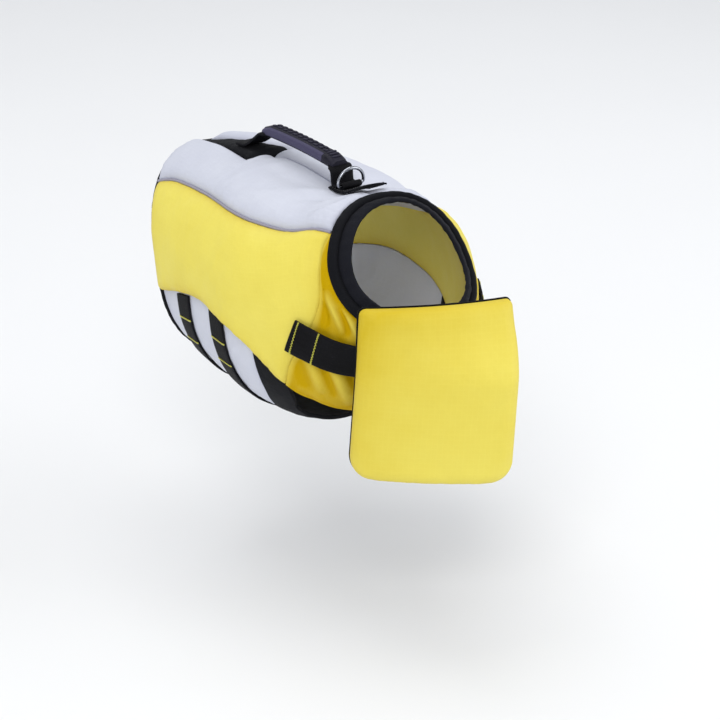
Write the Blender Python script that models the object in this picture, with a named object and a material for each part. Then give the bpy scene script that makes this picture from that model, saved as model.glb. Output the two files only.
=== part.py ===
"""Dog life jacket: foam panels, webbing, grab handle and chin float, worn form with nobody in it.

The garment faces -Y with +Z up, and the wearer's right flank lies at -X.
The origin is on the inner face of the back, on the spine at mid length, where the wearer holds it up.
Every cloth piece is a patch on one body surface, point(s, v): s runs from the rear hem (0) to the neck
seam (1), and v is the angle round the body from the spine (0) down the right flank to the belly (180).
"""
import math

import bmesh
import bpy
import numpy as np
from mathutils import Matrix, Vector

# Height of the held point of the back above the ground that the wearer stands on
HOLD_HEIGHT = 0.3000
SEAM_GAP = 0.0003

# Body sections: centre x, y, height z, lean and turn in degrees, half width, rise above and drop below
BODY_RINGS = (
    # x      y       z       lean  turn  half_w  up      down
    (0.000, 0.150, 0.2170, 0.0, 0.0, 0.0800, 0.0770, 0.0780),
    (0.000, 0.100, 0.2200, 0.0, 0.0, 0.0880, 0.0830, 0.0880),
    (0.000, 0.050, 0.2200, 0.0, 0.0, 0.0940, 0.0860, 0.0960),
    (0.000, 0.000, 0.2220, 4.0, 0.0, 0.0980, 0.0860, 0.1050),
    (-0.001, -0.048, 0.2300, 14.0, 2.0, 0.0980, 0.0780, 0.1120),
    (-0.003, -0.095, 0.2490, 29.0, 5.0, 0.0830, 0.0620, 0.0990),
    (-0.006, -0.139, 0.2715, 46.0, 9.0, 0.0545, 0.0630, 0.0580),
)
SECTION_POWER = 2.3

# Places along the back and flank panels where their sections stand
STATIONS = (0, 0.03, 1 / 12, 2 / 12, 3 / 12, 3.5 / 12, 4 / 12, 4.5 / 12, 5 / 12, 6 / 12, 7 / 12, 8 / 12,
            9 / 12, 10 / 12, 11 / 12, 0.97, 1)

# Rear hem: how far along the sections it lies, every 30 degrees from the spine to the belly
HEM_PLACE = (0.0, 0.055, 0.145, 0.228, 0.250, 0.245, 0.23)
# Neck seam: how far it is drawn back along the sections at the same angles, and how quickly that fades
NECK_DRAWN = (0.0, 0.0, 0.009, 0.024, 0.013, 0.005, 0.0)
NECK_FADE = 8

# Seams of the right side, as columns s and v
SPINE_EDGE = ((0, 3.2), (0.11, 5.2), (0.22, 7.4), (0.341, 9.2), (0.350, 5.2), (0.355, 0.25),
              (0.385, 0.25), (0.45, 0.25), (0.55, 0.25), (0.66, 0.25), (0.77, 0.25), (0.885, 0.25), (1, 0.25))
PATCH_FRONT = ((0.341, 9.2), (0.350, 5.2), (0.355, 0), (0.350, -5.2), (0.341, -9.2))
SHOULDER_SEAM = ((0, 45.5), (0.09, 41.4), (0.19, 39.8), (0.29, 39.5), (0.35, 40.1), (0.40, 40.8),
                 (0.44, 41.4), (0.50, 41.6), (0.585, 41.1), (0.68, 40.8), (0.785, 41.3), (0.90, 44.8),
                 (1, 54.5))
FLANK_EDGE = ((0, 99), (0.165, 93), (0.33, 91), (0.495, 95.5), (0.575, 101), (0.62, 107.5), (0.645, 115),
              (0.662, 124))
FLANK_FRONT = ((1, 54.5), (0.982, 66), (0.972, 79), (0.950, 91), (0.900, 101), (0.82, 109), (0.735, 114.5),
               (0.662, 124))
CHEST_EDGE = ((0.662, 124), (0.676, 130), (0.698, 137), (0.717, 145), (0.733, 155), (0.743, 167), (0.745, 180))
BELLY_SIDE = 141.0
BELLY_FRONT = ((0.598, 104), (0.579, 111.5), (0.562, 119), (0.541, 128), (0.50, 141))
GUSSET_FRONT = ((0.656, 120.5), (0.648, 127), (0.628, 134.5), (0.600, 141))
BELLY_CENTRE_FRONT = ((0.600, 141), (0.575, 155), (0.565, 180))

# Heights over the body surface: the outer face at the seams and amid the foam, and the inner face
FOAM_SEAM = -0.0024
FOAM_CROWN = 0.0045
FLANK_CROWN = 0.0030
FOAM_INNER_SEAM = -0.0060
FOAM_INNER = -0.0078
FOAM_ROUND = 0.019
SPINE_ROUND = 0.011
HEM_ROUND = 0.010
FLANK_LOW_ROUND = 0.006
FLANK_FRONT_ROUND = 0.013
PATCH_CROWN = 0.0056
PATCH_CROWN_REAR = -0.0018
PATCH_ROUND = 0.010
BELLY_TOP = -0.0036
BELLY_WALL = 0.0032
CHEST_TOP = -0.0014
CHEST_WALL = 0.0024
CHEST_ROUNDS = (0.014, 0, 0.008, 0)
CHEST_LEFT_SHIFT = 0.04

# Soft vertical folds of the chest panel: place from its flank seam to the middle, lean, width, height
CHEST_FOLDS = (
    (0.10, 0.05, 0.045, 0.0016),
    (0.26, 0.10, 0.060, 0.0028),
    (0.43, -0.04, 0.050, 0.0020),
    (0.60, 0.08, 0.070, 0.0024),
    (0.80, 0.02, 0.060, 0.0014),
)

PIPING_RADIUS = 0.0012
PIPING_HEIGHT = -0.0016
PIPING_CHANNEL = 0.0031

# Webbing
BELLY_STRAP_WIDTH = 0.020
BELLY_STRAP_WALL = 0.0020
BELLY_STRAP_REAR_Y = 0.0365
BELLY_STRAP_FRONT_Y = -0.0170
BELLY_STRAP_REST = BELLY_TOP + 0.0004
CHEST_STRAP_WIDTH = 0.0265
CHEST_STRAP_WALL = 0.0022
CHEST_STRAP = (
    # s     v    rest height
    (0.797, 104, 0.0034),
    (0.820, 108.5, 0.0034),
    (0.840, 113, 0.0033),
    (0.865, 121, 0.0031),
    (0.885, 128.5, 0.0029),
    (0.903, 136, 0.0027),
    (0.918, 148, 0.0025),
    (0.926, 163, 0.0024),
    (0.930, 180, 0.0023),
)

# Neck finish: a padded rim on the seam and a softer band ahead of it
RIM_WIDTH = 0.0080
RIM_WALL = 0.0068
RIM_HEIGHT = -0.0026
RIM_SLOPE = 0.05
BAND_WIDTH = 0.0105
BAND_WALL = 0.0040
BAND_HEIGHT = -0.0052
BAND_SLOPE = 0.12
HEM_WIDTH = 0.0050
HEM_WALL = 0.0048
HEM_HEIGHT = -0.0044

# Chin float: a foam flap that hangs before the chest
FLOAT_TURN = 33.0
FLOAT_TOP_TURN = 17.0
FLOAT_TWIST_DEPTH = 0.055
FLOAT_ROLL = 3.4
FLOAT_TILT = 1.5
FLOAT_WIDTH = 0.1185
FLOAT_FOOT_EXTRA = 0.003
FLOAT_HEIGHT = 0.133
FLOAT_WALL = 0.0110
FLOAT_CORNER = 0.018
FLOAT_TOP_CORNER = 0.005
FLOAT_TOP_CORNER_PLACE = (-0.0662, 0.2608 - HOLD_HEIGHT)
FLOAT_ROWS = 14
FLOAT_BOW = 0.0060
FLOAT_ROUND = 0.011
FLOAT_EDGE_SHARE = 0.28
FLOAT_BACK_WALL = 0.0016
FLOAT_BACK_MARGIN = 0.0012
FLOAT_REST_GAP = 0.0006
FLOAT_SEAT_STEPS = 8

# Grab handle on the spine
GRIP_REAR_Y = 0.049
GRIP_FRONT_Y = -0.048
GRIP_WIDTH = 0.0150
GRIP_WALL = 0.0056
GRIP_REAR_Z = 0.3305 - HOLD_HEIGHT
GRIP_FRONT_Z = 0.3282 - HOLD_HEIGHT
GRIP_ARCH = 0.0018
GRIP_RIBS = 11
GRIP_RIB_HEIGHT = 0.0007
GRIP_END = 0.10
HANDLE_WEB_WIDTH = 0.020
HANDLE_WEB_WALL = 0.0022
HANDLE_REAR_FOOT = (0.0825, 0.0705)
HANDLE_FRONT_FOOT = (-0.0505, -0.0565)
# how far along and up the webbing turns, at the rear foot, the grip's two ends and the front foot
HANDLE_TURNS = ((0.0020, 0.0014), (0.0150, 0.0115), (0.0012, 0.0022), (0.0008, 0.0030))
HANDLE_BASE_TOP = FOAM_CROWN + 0.0030
HANDLE_BASE_WALL = 0.0013
HANDLE_BASE_Y = (-0.0475, -0.0915)
HANDLE_BASE_HALF = 0.0108

# D-ring, upright on its bar behind the neck
DRING_Y = -0.0620
DRING_WIDTH = 0.026
DRING_HEIGHT = 0.0160
DRING_WIRE = 0.0013
DRING_CORNER = 0.0025
DRING_LEAN = 3.0
LOOP_LENGTH = 0.018
LOOP_BORE = 0.0016
LOOP_OUTER = 0.0026

COLOURS = {
    # name: linear colour, roughness, metallic
    "pale_cloth": ((0.61, 0.64, 0.73), 0.62, 0.0),
    "yellow_cloth": ((0.76, 0.62, 0.07), 0.60, 0.0),
    "deep_yellow_cloth": ((0.66, 0.50, 0.03), 0.62, 0.0),
    "black_cloth": ((0.010, 0.011, 0.014), 0.75, 0.0),
    "webbing": ((0.009, 0.010, 0.013), 0.80, 0.0),
    "piping": ((0.26, 0.24, 0.30), 0.45, 0.0),
    "grip_rubber": ((0.020, 0.019, 0.030), 0.48, 0.0),
    "ring_steel": ((0.72, 0.72, 0.74), 0.22, 1.0),
}


def clear_scene():
    """Removes what the file opened with, so that the model starts from nothing."""
    for obj in list(bpy.data.objects):
        bpy.data.objects.remove(obj, do_unlink=True)


def new_collection(name):
    """A collection linked to the scene."""
    collection = bpy.data.collections.new(name)
    bpy.context.scene.collection.children.link(collection)
    return collection


def material(kind):
    """The Principled BSDF material of one cloth, rubber or metal."""
    found = bpy.data.materials.get(kind)
    if found:
        return found
    colour, roughness, metallic = COLOURS[kind]
    made = bpy.data.materials.new(kind)
    made.use_nodes = True
    shader = made.node_tree.nodes["Principled BSDF"]
    shader.inputs["Base Color"].default_value = (*colour, 1.0)
    shader.inputs["Roughness"].default_value = roughness
    shader.inputs["Metallic"].default_value = metallic
    made.diffuse_color = (*colour, 1.0)
    return made


def smooth_rows(table, t):
    """A smooth curve through the table's rows, read at t from 0 to 1."""
    rows = np.asarray(table, float)
    place = np.clip(np.asarray(t, float), 0, 1) * (len(rows) - 1)
    first = np.clip(place.astype(int), 0, len(rows) - 2)
    part = (place - first)[..., None]
    ends = np.vstack([2 * rows[0] - rows[1], rows, 2 * rows[-1] - rows[-2]])
    before = ends[first]
    start = ends[first + 1]
    stop = ends[first + 2]
    after = ends[first + 3]
    bend = 2 * before - 5 * start + 4 * stop - after
    twist = 3 * start - before - 3 * stop + after
    return 0.5 * (2 * start + (stop - before) * part + bend * part ** 2 + twist * part ** 3)


def round_body(table, v):
    """A table's value at the angle v, the same on both flanks."""
    angle = np.abs((np.asarray(v, float) + 180) % 360 - 180)
    return smooth_rows([[row] for row in table], angle / 180)[..., 0]


def point(s, v):
    """A point of the body surface: a rounded section, leant and turned about its centre."""
    s, v = np.broadcast_arrays(np.asarray(s, float), np.asarray(v, float))
    hem = round_body(HEM_PLACE, v)
    drawn = round_body(NECK_DRAWN, v) * s ** NECK_FADE
    columns = smooth_rows(BODY_RINGS, hem + (1 - hem) * s - drawn)
    x, y, z, lean, turn, half, rise, drop = np.moveaxis(columns, -1, 0)
    angle = np.radians(v)
    power = 2 / SECTION_POWER
    across = -half * np.sign(np.sin(angle)) * np.abs(np.sin(angle)) ** power
    tall = np.where(np.cos(angle) >= 0, rise, drop)
    high = tall * np.sign(np.cos(angle)) * np.abs(np.cos(angle)) ** power
    lean = np.radians(lean)
    turn = np.radians(turn)
    back = high * np.sin(lean)
    px = x + across * np.cos(turn) + back * np.sin(turn)
    py = y - across * np.sin(turn) + back * np.cos(turn)
    pz = z + high * np.cos(lean) - HOLD_HEIGHT
    return np.stack([px, py, pz], -1)


def unit(vectors):
    """The same directions at length one."""
    return vectors / np.linalg.norm(vectors, axis=-1, keepdims=True)


def slopes(s, v):
    """How the surface point moves with s and with v, from differences across a short step."""
    step_s = 0.004
    step_v = 1.0
    low = np.clip(np.asarray(s, float) - step_s, 0, 1)
    high = np.clip(np.asarray(s, float) + step_s, 0, 1)
    along = (point(high, v) - point(low, v)) / (high - low)[..., None]
    around = (point(s, v + step_v) - point(s, v - step_v)) / (2 * step_v)
    return along, around


def normal(s, v):
    """The outward direction of the body surface."""
    s, v = np.broadcast_arrays(np.asarray(s, float), np.asarray(v, float))
    along, around = slopes(s, v)
    return unit(np.cross(around, along))


def surface_step(s, v, move):
    """The s, v that lie a small move away along the surface."""
    along, around = slopes(s, v)
    aa = (along * along).sum(-1)
    bb = (around * around).sum(-1)
    ab = (along * around).sum(-1)
    ma = (move * along).sum(-1)
    mb = (move * around).sum(-1)
    det = aa * bb - ab * ab
    return s + (ma * bb - mb * ab) / det, v + (mb * aa - ma * ab) / det


def raised(s, v, height):
    """The surface point moved out by a height."""
    height = np.asarray(height, float)
    return point(s, v) + normal(s, v) * height[..., None]


def section_at(y, v):
    """The place s of the points that have a given y, for each angle v."""
    steps = np.linspace(0, 1, 161)
    y, v = np.broadcast_arrays(np.asarray(y, float), np.asarray(v, float))
    flat_y = y.ravel()
    flat_v = v.ravel()
    found = np.empty(flat_y.size)
    for index in range(flat_y.size):
        run = point(steps, flat_v[index])[:, 1]
        found[index] = np.interp(-flat_y[index], -run, steps)
    return found.reshape(y.shape)


def mirrored(table):
    """A seam table of the right side, as the same seam on the left."""
    return tuple((s, 360 - v) for s, v in table)


def edge_spaced(count):
    """Places from 0 to 1, closer together at both ends."""
    t = np.linspace(0, 1, count + 1)
    return t - 0.55 * np.sin(2 * math.pi * t) / (2 * math.pi)


def run_lengths(s, v):
    """Lengths of the grid's lines in each of its two directions, one for each line."""
    places = point(s, v)
    along = np.linalg.norm(np.diff(places, axis=0), axis=-1).sum(0)
    across = np.linalg.norm(np.diff(places, axis=1), axis=-1).sum(1)
    return along, across


def patch(top, bottom, rear, front, a, b):
    """Places s, v of a four-sided patch, blended from its four edge tables."""
    a = np.asarray(a, float)[..., None]
    b = np.asarray(b, float)[..., None]
    upper = smooth_rows(top, a[..., 0])
    lower = smooth_rows(bottom, a[..., 0])
    back = smooth_rows(rear, b[..., 0])
    ahead = smooth_rows(front, b[..., 0])
    corner = [np.asarray(row, float) for row in (top[0], top[-1], bottom[0], bottom[-1])]
    ruled = (1 - b) * upper + b * lower + (1 - a) * back + a * ahead
    flat = (1 - a) * ((1 - b) * corner[0] + b * corner[2]) + a * ((1 - b) * corner[1] + b * corner[3])
    both = ruled - flat
    return both[..., 0], both[..., 1]


def patch_grid(edges, counts, gaps):
    """A patch's grid of s, v, drawn in from its edges by the gaps, and each point's distance to them.

    counts holds the cells along and across; none along stands for the panels' common stations.
    """
    lengthwise = np.asarray(STATIONS) if counts[0] == 0 else edge_spaced(counts[0])
    a, b = np.meshgrid(lengthwise, edge_spaced(counts[1]), indexing="ij")
    s, v = patch(*edges, a, b)
    along, across = run_lengths(s, v)
    gap_top, gap_bottom, gap_rear, gap_front = gaps
    inset_a = gap_rear / along[None, :] + a * (1 - (gap_rear + gap_front) / along[None, :])
    s, v = patch(*edges, inset_a, b)
    for row, inner, gap in ((0, 1, gap_top), (-1, -2, gap_bottom)):
        edge = point(s[:, row], v[:, row])
        inward = point(s[:, inner], v[:, inner]) - edge
        side = unit(np.cross(np.gradient(edge, axis=0), normal(s[:, row], v[:, row])))
        side = side * np.sign((side * inward).sum(-1, keepdims=True))
        s[:, row], v[:, row] = surface_step(s[:, row], v[:, row], side * gap)
    distances = (b * across[:, None], (1 - b) * across[:, None],
                 a * along[None, :], (1 - a) * along[None, :])
    return s, v, a, b, distances


def round_over(distances, rounds):
    """From 0 at the patch's edges to 1 past each edge's rounding, as quarter circles."""
    total = 1.0
    for distance, radius in zip(distances, rounds):
        if radius:
            depth = 1 - np.clip(distance / radius, 0, 1)
            total = total * np.sqrt(1 - depth ** 2)
    return total


def add_mesh(name, vertices, faces, kind, smooth=True):
    """A mesh object in the jacket's collection with its material."""
    mesh = bpy.data.meshes.new(name)
    mesh.from_pydata([tuple(v) for v in np.asarray(vertices, float)], [], faces)
    mesh.materials.append(material(kind))
    obj = bpy.data.objects.new(name, mesh)
    JACKET.objects.link(obj)
    if smooth:
        mesh.shade_smooth()
        mesh.set_sharp_from_angle(angle=math.radians(40))
    return obj


def face_outwards(obj):
    """Turns the faces of one closed mesh outwards."""
    work = bmesh.new()
    work.from_mesh(obj.data)
    bmesh.ops.recalc_face_normals(work, faces=work.faces)
    if work.calc_volume(signed=True) < 0:
        bmesh.ops.reverse_faces(work, faces=work.faces)
    work.to_mesh(obj.data)
    work.free()


def loft(name, sections, kind, closed=False):
    """Bridges closed sections of equal count; open runs are capped by strips across the section."""
    sections = np.asarray(sections, float)
    count, size = sections.shape[:2]
    index = np.arange(count * size).reshape(count, size)
    faces = []
    for i in range(count if closed else count - 1):
        here = index[i]
        there = index[(i + 1) % count]
        for j in range(size):
            k = (j + 1) % size
            faces.append((here[j], here[k], there[k], there[j]))
    if not closed:
        for cap in (index[0], index[-1]):
            for j in range(size // 2 - 1):
                faces.append((cap[j], cap[j + 1], cap[size - 2 - j], cap[size - 1 - j]))
    obj = add_mesh(name, sections.reshape(-1, 3), [tuple(int(n) for n in f) for f in faces], kind)
    face_outwards(obj)
    return obj


def walled(name, outer, inner, kind):
    """A cloth wall between an outer and an inner grid of points, with its edges closed."""
    return loft(name, np.concatenate([outer, inner[:, ::-1]], axis=1), kind)


def foam_panel(name, edges, counts, gaps, rounds, crowns, kind):
    """A padded panel: full in its middle, thin at the seams; crowns hold its rear and front height."""
    s, v, a, _, distances = patch_grid(edges, counts, gaps)
    full = round_over(distances, rounds)
    crown = crowns[0] + (crowns[1] - crowns[0]) * a
    outer = FOAM_SEAM + (crown - FOAM_SEAM) * full
    inner = FOAM_INNER_SEAM + (FOAM_INNER - FOAM_INNER_SEAM) * full
    return walled(name, raised(s, v, outer), raised(s, v, inner), kind)


def flat_panel(name, edges, counts, gaps, top, wall, kind):
    """A panel of even thickness."""
    s, v, _, _, _ = patch_grid(edges, counts, gaps)
    outer = np.full(s.shape, top)
    return walled(name, raised(s, v, outer), raised(s, v, outer - wall), kind)


def side_name(base, left):
    """The node name of one of a pair."""
    return base + ("_left" if left else "_right")


def sided(tables, left):
    """The four edge tables of a patch on the right, or mirrored to the left."""
    return [mirrored(table) for table in tables] if left else list(tables)


def straight(first, last):
    """An edge straight in s and v between two corners."""
    return (tuple(first), tuple(last))


def part_of(table, start, stop, rows=7):
    """The stretch of a seam table between two of its places t."""
    return tuple(tuple(row) for row in smooth_rows(table, np.linspace(start, stop, rows)))


def place_of(table, s):
    """The place t along a seam table where it passes a given s."""
    t = np.linspace(0, 1, 401)
    return float(np.interp(s, smooth_rows(table, t)[:, 0], t))


def back_panel(left):
    """Pale foam panel from the spine to the shoulder seam."""
    edges = (SPINE_EDGE, SHOULDER_SEAM, straight(SPINE_EDGE[0], SHOULDER_SEAM[0]),
             straight(SPINE_EDGE[-1], SHOULDER_SEAM[-1]))
    gaps = (SEAM_GAP, PIPING_CHANNEL / 2, SEAM_GAP, SEAM_GAP)
    rounds = (SPINE_ROUND, FOAM_ROUND, HEM_ROUND, FOAM_ROUND)
    return foam_panel(side_name("back_panel", left), sided(edges, left), (0, 8), gaps, rounds,
                      (FOAM_CROWN, FOAM_CROWN), "pale_cloth")


def side_panel(left):
    """Yellow foam panel from the shoulder seam down the flank and on to the chest."""
    edges = (SHOULDER_SEAM, FLANK_EDGE, straight(SHOULDER_SEAM[0], FLANK_EDGE[0]), FLANK_FRONT)
    gaps = (PIPING_CHANNEL / 2, 2 * SEAM_GAP, SEAM_GAP, 2 * SEAM_GAP)
    rounds = (FOAM_ROUND, FLANK_LOW_ROUND, HEM_ROUND, FLANK_FRONT_ROUND)
    return foam_panel(side_name("side_panel", left), sided(edges, left), (0, 10), gaps, rounds,
                      (FLANK_CROWN, FLANK_CROWN), "yellow_cloth")


def chest_panel(left):
    """Soft yellow panel from the flank foam to the middle of the chest, with upright folds."""
    neck = straight(FLANK_FRONT[0], (1, 180))
    middle = straight((1, 180), CHEST_EDGE[-1])
    edges = sided((neck, CHEST_EDGE, FLANK_FRONT, middle), left)
    gaps = (SEAM_GAP, 0, SEAM_GAP, SEAM_GAP)
    s, v, a, b, distances = patch_grid(edges, (18, 10), gaps)
    shift = CHEST_LEFT_SHIFT if left else 0.0
    height = np.zeros_like(a)
    for place, lean, width, rise in CHEST_FOLDS:
        across = (a - place - shift - lean * (b - 0.5)) / width
        height += rise * np.exp(-across ** 2)
    height *= round_over(distances, CHEST_ROUNDS)
    outer = CHEST_TOP + height
    return walled(side_name("chest_panel", left), raised(s, v, outer),
                  raised(s, v, outer - CHEST_WALL), "deep_yellow_cloth")


def belly_panel(left):
    """Pale panel below the flank's edge, with a rounded front corner."""
    stop = place_of(FLANK_EDGE, BELLY_FRONT[0][0])
    top = part_of(FLANK_EDGE, 0, stop)
    front = (top[-1],) + BELLY_FRONT[1:]
    bottom = straight((0, BELLY_SIDE), front[-1])
    edges = (top, bottom, straight(top[0], bottom[0]), front)
    gaps = (2 * SEAM_GAP, SEAM_GAP, SEAM_GAP, SEAM_GAP)
    return flat_panel(side_name("belly_panel", left), sided(edges, left), (16, 7), gaps,
                      BELLY_TOP, BELLY_WALL, "pale_cloth")


def belly_gusset(left):
    """Black panel ahead of the pale one, up to the leg opening."""
    start = place_of(FLANK_EDGE, BELLY_FRONT[0][0])
    stop = place_of(FLANK_EDGE, GUSSET_FRONT[0][0])
    top = part_of(FLANK_EDGE, start, stop, 4)
    rear = (top[0],) + BELLY_FRONT[1:]
    front = (top[-1],) + GUSSET_FRONT[1:]
    bottom = straight(rear[-1], front[-1])
    gaps = (2 * SEAM_GAP, SEAM_GAP, SEAM_GAP, 0)
    return flat_panel(side_name("belly_gusset", left), sided((top, bottom, rear, front), left), (4, 7),
                      gaps, BELLY_TOP, BELLY_WALL, "black_cloth")


def belly_centre():
    """Black strip along the belly between the two pale panels."""
    near = straight((0, BELLY_SIDE), BELLY_CENTRE_FRONT[0])
    far = mirrored(near)
    front = BELLY_CENTRE_FRONT + mirrored(BELLY_CENTRE_FRONT)[::-1][1:]
    rear = straight(near[0], far[0])
    gaps = (SEAM_GAP, SEAM_GAP, SEAM_GAP, 0)
    flat_panel("belly_centre", (near, far, rear, front), (14, 8), gaps, BELLY_TOP, BELLY_WALL,
               "black_cloth")


def back_patch():
    """Black padded wedge on the spine behind the handle, between the two pale panels."""
    near = part_of(SPINE_EDGE, 0, 3 / 12, 13)
    turned = tuple((s, -v) for s, v in near)
    rear = straight(near[0], turned[0])
    gaps = (3 * SEAM_GAP, 3 * SEAM_GAP, SEAM_GAP, 4 * SEAM_GAP)
    rounds = (PATCH_ROUND, PATCH_ROUND, HEM_ROUND, PATCH_ROUND)
    foam_panel("back_patch", (near, turned, rear, PATCH_FRONT), (8, 8), gaps, rounds,
               (PATCH_CROWN_REAR, PATCH_CROWN), "black_cloth")


def piping(left):
    """Grey cord of the shoulder seam, lying in the channel between its two panels."""
    table = sided((SHOULDER_SEAM,), left)[0]
    stations = np.asarray(STATIONS, float)
    stations[[0, -1]] = 0.004, 0.996
    places = smooth_rows(table, stations)
    run = raised(places[:, 0], places[:, 1], np.full(len(places), PIPING_HEIGHT))
    wire(side_name("piping", left), run, PIPING_RADIUS, "piping")


def wire(name, run, radius, kind, cyclic=False):
    """A round wire or cord along points, with filled ends."""
    data = bpy.data.curves.new(name, "CURVE")
    data.dimensions = "3D"
    data.bevel_depth = radius
    data.bevel_resolution = 2
    data.use_fill_caps = not cyclic
    spline = data.splines.new("POLY")
    spline.points.add(len(run) - 1)
    for spot, place in zip(spline.points, run):
        spot.co = (*place, 1.0)
    spline.use_cyclic_u = cyclic
    data.materials.append(material(kind))
    obj = bpy.data.objects.new(name, data)
    JACKET.objects.link(obj)
    return obj


def oval(width, wall, count=8, power=3.0):
    """A flattened round section: columns along and out, centred on zero."""
    t = np.linspace(0, 2 * math.pi, count, endpoint=False) + math.pi / count
    along = np.sign(np.cos(t)) * np.abs(np.cos(t)) ** (2 / power) * width / 2
    out = np.sign(np.sin(t)) * np.abs(np.sin(t)) ** (2 / power) * wall / 2
    return along, out


def edge_ring(name, s, ahead, start, width, wall, height, slope, kind, count=52):
    """A padded ring that carries on from the edge at s: start is its near side's distance along."""
    v = np.linspace(0, 360, count, endpoint=False)
    base = point(np.full(count, s), v)
    out_way = normal(np.full(count, s), v)
    run, _ = slopes(np.full(count, s), v)
    run = unit(run) * ahead
    along, out = oval(width, wall)
    along = along + start + width / 2
    out = out + height - slope * (along - start)
    sections = (base[:, None] + run[:, None] * along[None, :, None]
                + out_way[:, None] * out[None, :, None])
    loft(name, sections, kind, closed=True)
    return sections


def neck_finish():
    """Padded rim on the neck seam and the softer band ahead of it. Gives back the rim's points."""
    rim = edge_ring("neck_rim", 1.0, 1, SEAM_GAP, RIM_WIDTH, RIM_WALL, RIM_HEIGHT, RIM_SLOPE,
                    "black_cloth")
    band_start = RIM_WIDTH + 2 * SEAM_GAP
    band = edge_ring("neck_band", 1.0, 1, band_start, BAND_WIDTH, BAND_WALL, BAND_HEIGHT, BAND_SLOPE,
                     "webbing")
    return np.concatenate([rim.reshape(-1, 3), band.reshape(-1, 3)])


def hem_binding():
    """Black binding round the rear hem."""
    edge_ring("hem_binding", 0.0, -1, SEAM_GAP, HEM_WIDTH, HEM_WALL, HEM_HEIGHT, 0.0, "black_cloth")


def belly_strap(name, middle_y):
    """Webbing from one flank's lower edge under the belly to the other's."""
    half = BELLY_STRAP_WIDTH / 2
    across = middle_y + np.linspace(half, -half, 3)
    edge = smooth_rows(FLANK_EDGE, np.linspace(0, 1, 200))
    edge_y = point(edge[:, 0], edge[:, 1])[:, 1]
    first = np.interp(-across, -edge_y, edge[:, 1]) + 0.6
    t = np.linspace(0, 1, 31)[:, None]
    v = first[None, :] * (1 - t) + (360 - first[None, :]) * t
    y = np.broadcast_to(across, v.shape)
    s = section_at(y, v)
    low = np.full(v.shape, BELLY_STRAP_REST)
    walled(name, raised(s, v, low + BELLY_STRAP_WALL), raised(s, v, low), "webbing")


def chest_strap():
    """Wide webbing across the chest, lying on the flank foam at both ends. Gives back its points."""
    right = np.asarray(CHEST_STRAP, float)
    left = right[::-1][1:].copy()
    left[:, 1] = 360 - left[:, 1]
    rows = smooth_rows(np.concatenate([right, left]), np.linspace(0, 1, 31))
    s, v, rest = rows[:, 0], rows[:, 1], rows[:, 2]
    middle = point(s, v)
    out_way = normal(s, v)
    run = unit(np.gradient(middle, axis=0))
    side = unit(np.cross(run, out_way))
    outer = []
    inner = []
    for offset in np.linspace(-0.5, 0.5, 5) * CHEST_STRAP_WIDTH:
        there = surface_step(s, v, side * offset)
        outer.append(raised(*there, rest + CHEST_STRAP_WALL))
        inner.append(raised(*there, rest))
    outer = np.stack(outer, 1)
    walled("chest_strap", outer, np.stack(inner, 1), "webbing")
    return outer.reshape(-1, 3)


def float_frame(depth):
    """The chin float's directions at each depth: across to the left flank, down, and out ahead."""
    part = np.clip(np.asarray(depth, float) / FLOAT_TWIST_DEPTH, 0, 1)
    eased = part * part * (3 - 2 * part)
    turn = np.radians(FLOAT_TOP_TURN + (FLOAT_TURN - FLOAT_TOP_TURN) * eased)
    roll = math.radians(FLOAT_ROLL)
    tilt = math.radians(FLOAT_TILT)
    level = np.zeros(turn.shape)
    out = np.stack([-np.sin(turn), -np.cos(turn), level], -1)
    across = np.stack([np.cos(turn), -np.sin(turn), level], -1)
    down = np.array([0.0, 0.0, -1.0]) * math.cos(tilt) + out * math.sin(tilt)
    rolled = across * math.cos(roll) + down * math.sin(roll)
    hang = down * math.cos(roll) - across * math.sin(roll)
    return rolled, hang, np.cross(hang, rolled)


def float_outline(depth, margin):
    """Half width of the float at a depth below its top edge, with rounded corners."""
    foot = FLOAT_HEIGHT + margin
    half = FLOAT_WIDTH / 2 + margin + FLOAT_FOOT_EXTRA / 2 * np.clip(depth / FLOAT_HEIGHT, 0, 1)
    low = np.clip((FLOAT_CORNER - (foot - depth)) / FLOAT_CORNER, 0, 1)
    high = np.clip((FLOAT_TOP_CORNER - (depth + margin)) / FLOAT_TOP_CORNER, 0, 1)
    half = half - FLOAT_CORNER * (1 - np.sqrt(1 - low ** 2))
    return half - FLOAT_TOP_CORNER * (1 - np.sqrt(1 - high ** 2))


def float_rows(margin):
    """Depths of the float's sections, closer together at its head and foot."""
    return edge_spaced(FLOAT_ROWS) * (FLOAT_HEIGHT + 2 * margin) - margin


def float_bow(across):
    """How far the float bends back at a distance from its middle."""
    return FLOAT_BOW * (across / (FLOAT_WIDTH / 2)) ** 2


def float_points(corner, depth, across, out):
    """Points of the float from its top right corner: depth, distance from the middle and height out.

    The right edge is straight; each depth turns about it, so that the top edge follows the collar.
    """
    rolled, _, front = float_frame(depth)
    _, hang, _ = float_frame(FLOAT_HEIGHT)
    return (corner + depth[..., None] * hang + (across + FLOAT_WIDTH / 2)[..., None] * rolled
            + (out - float_bow(across))[..., None] * front)


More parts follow.
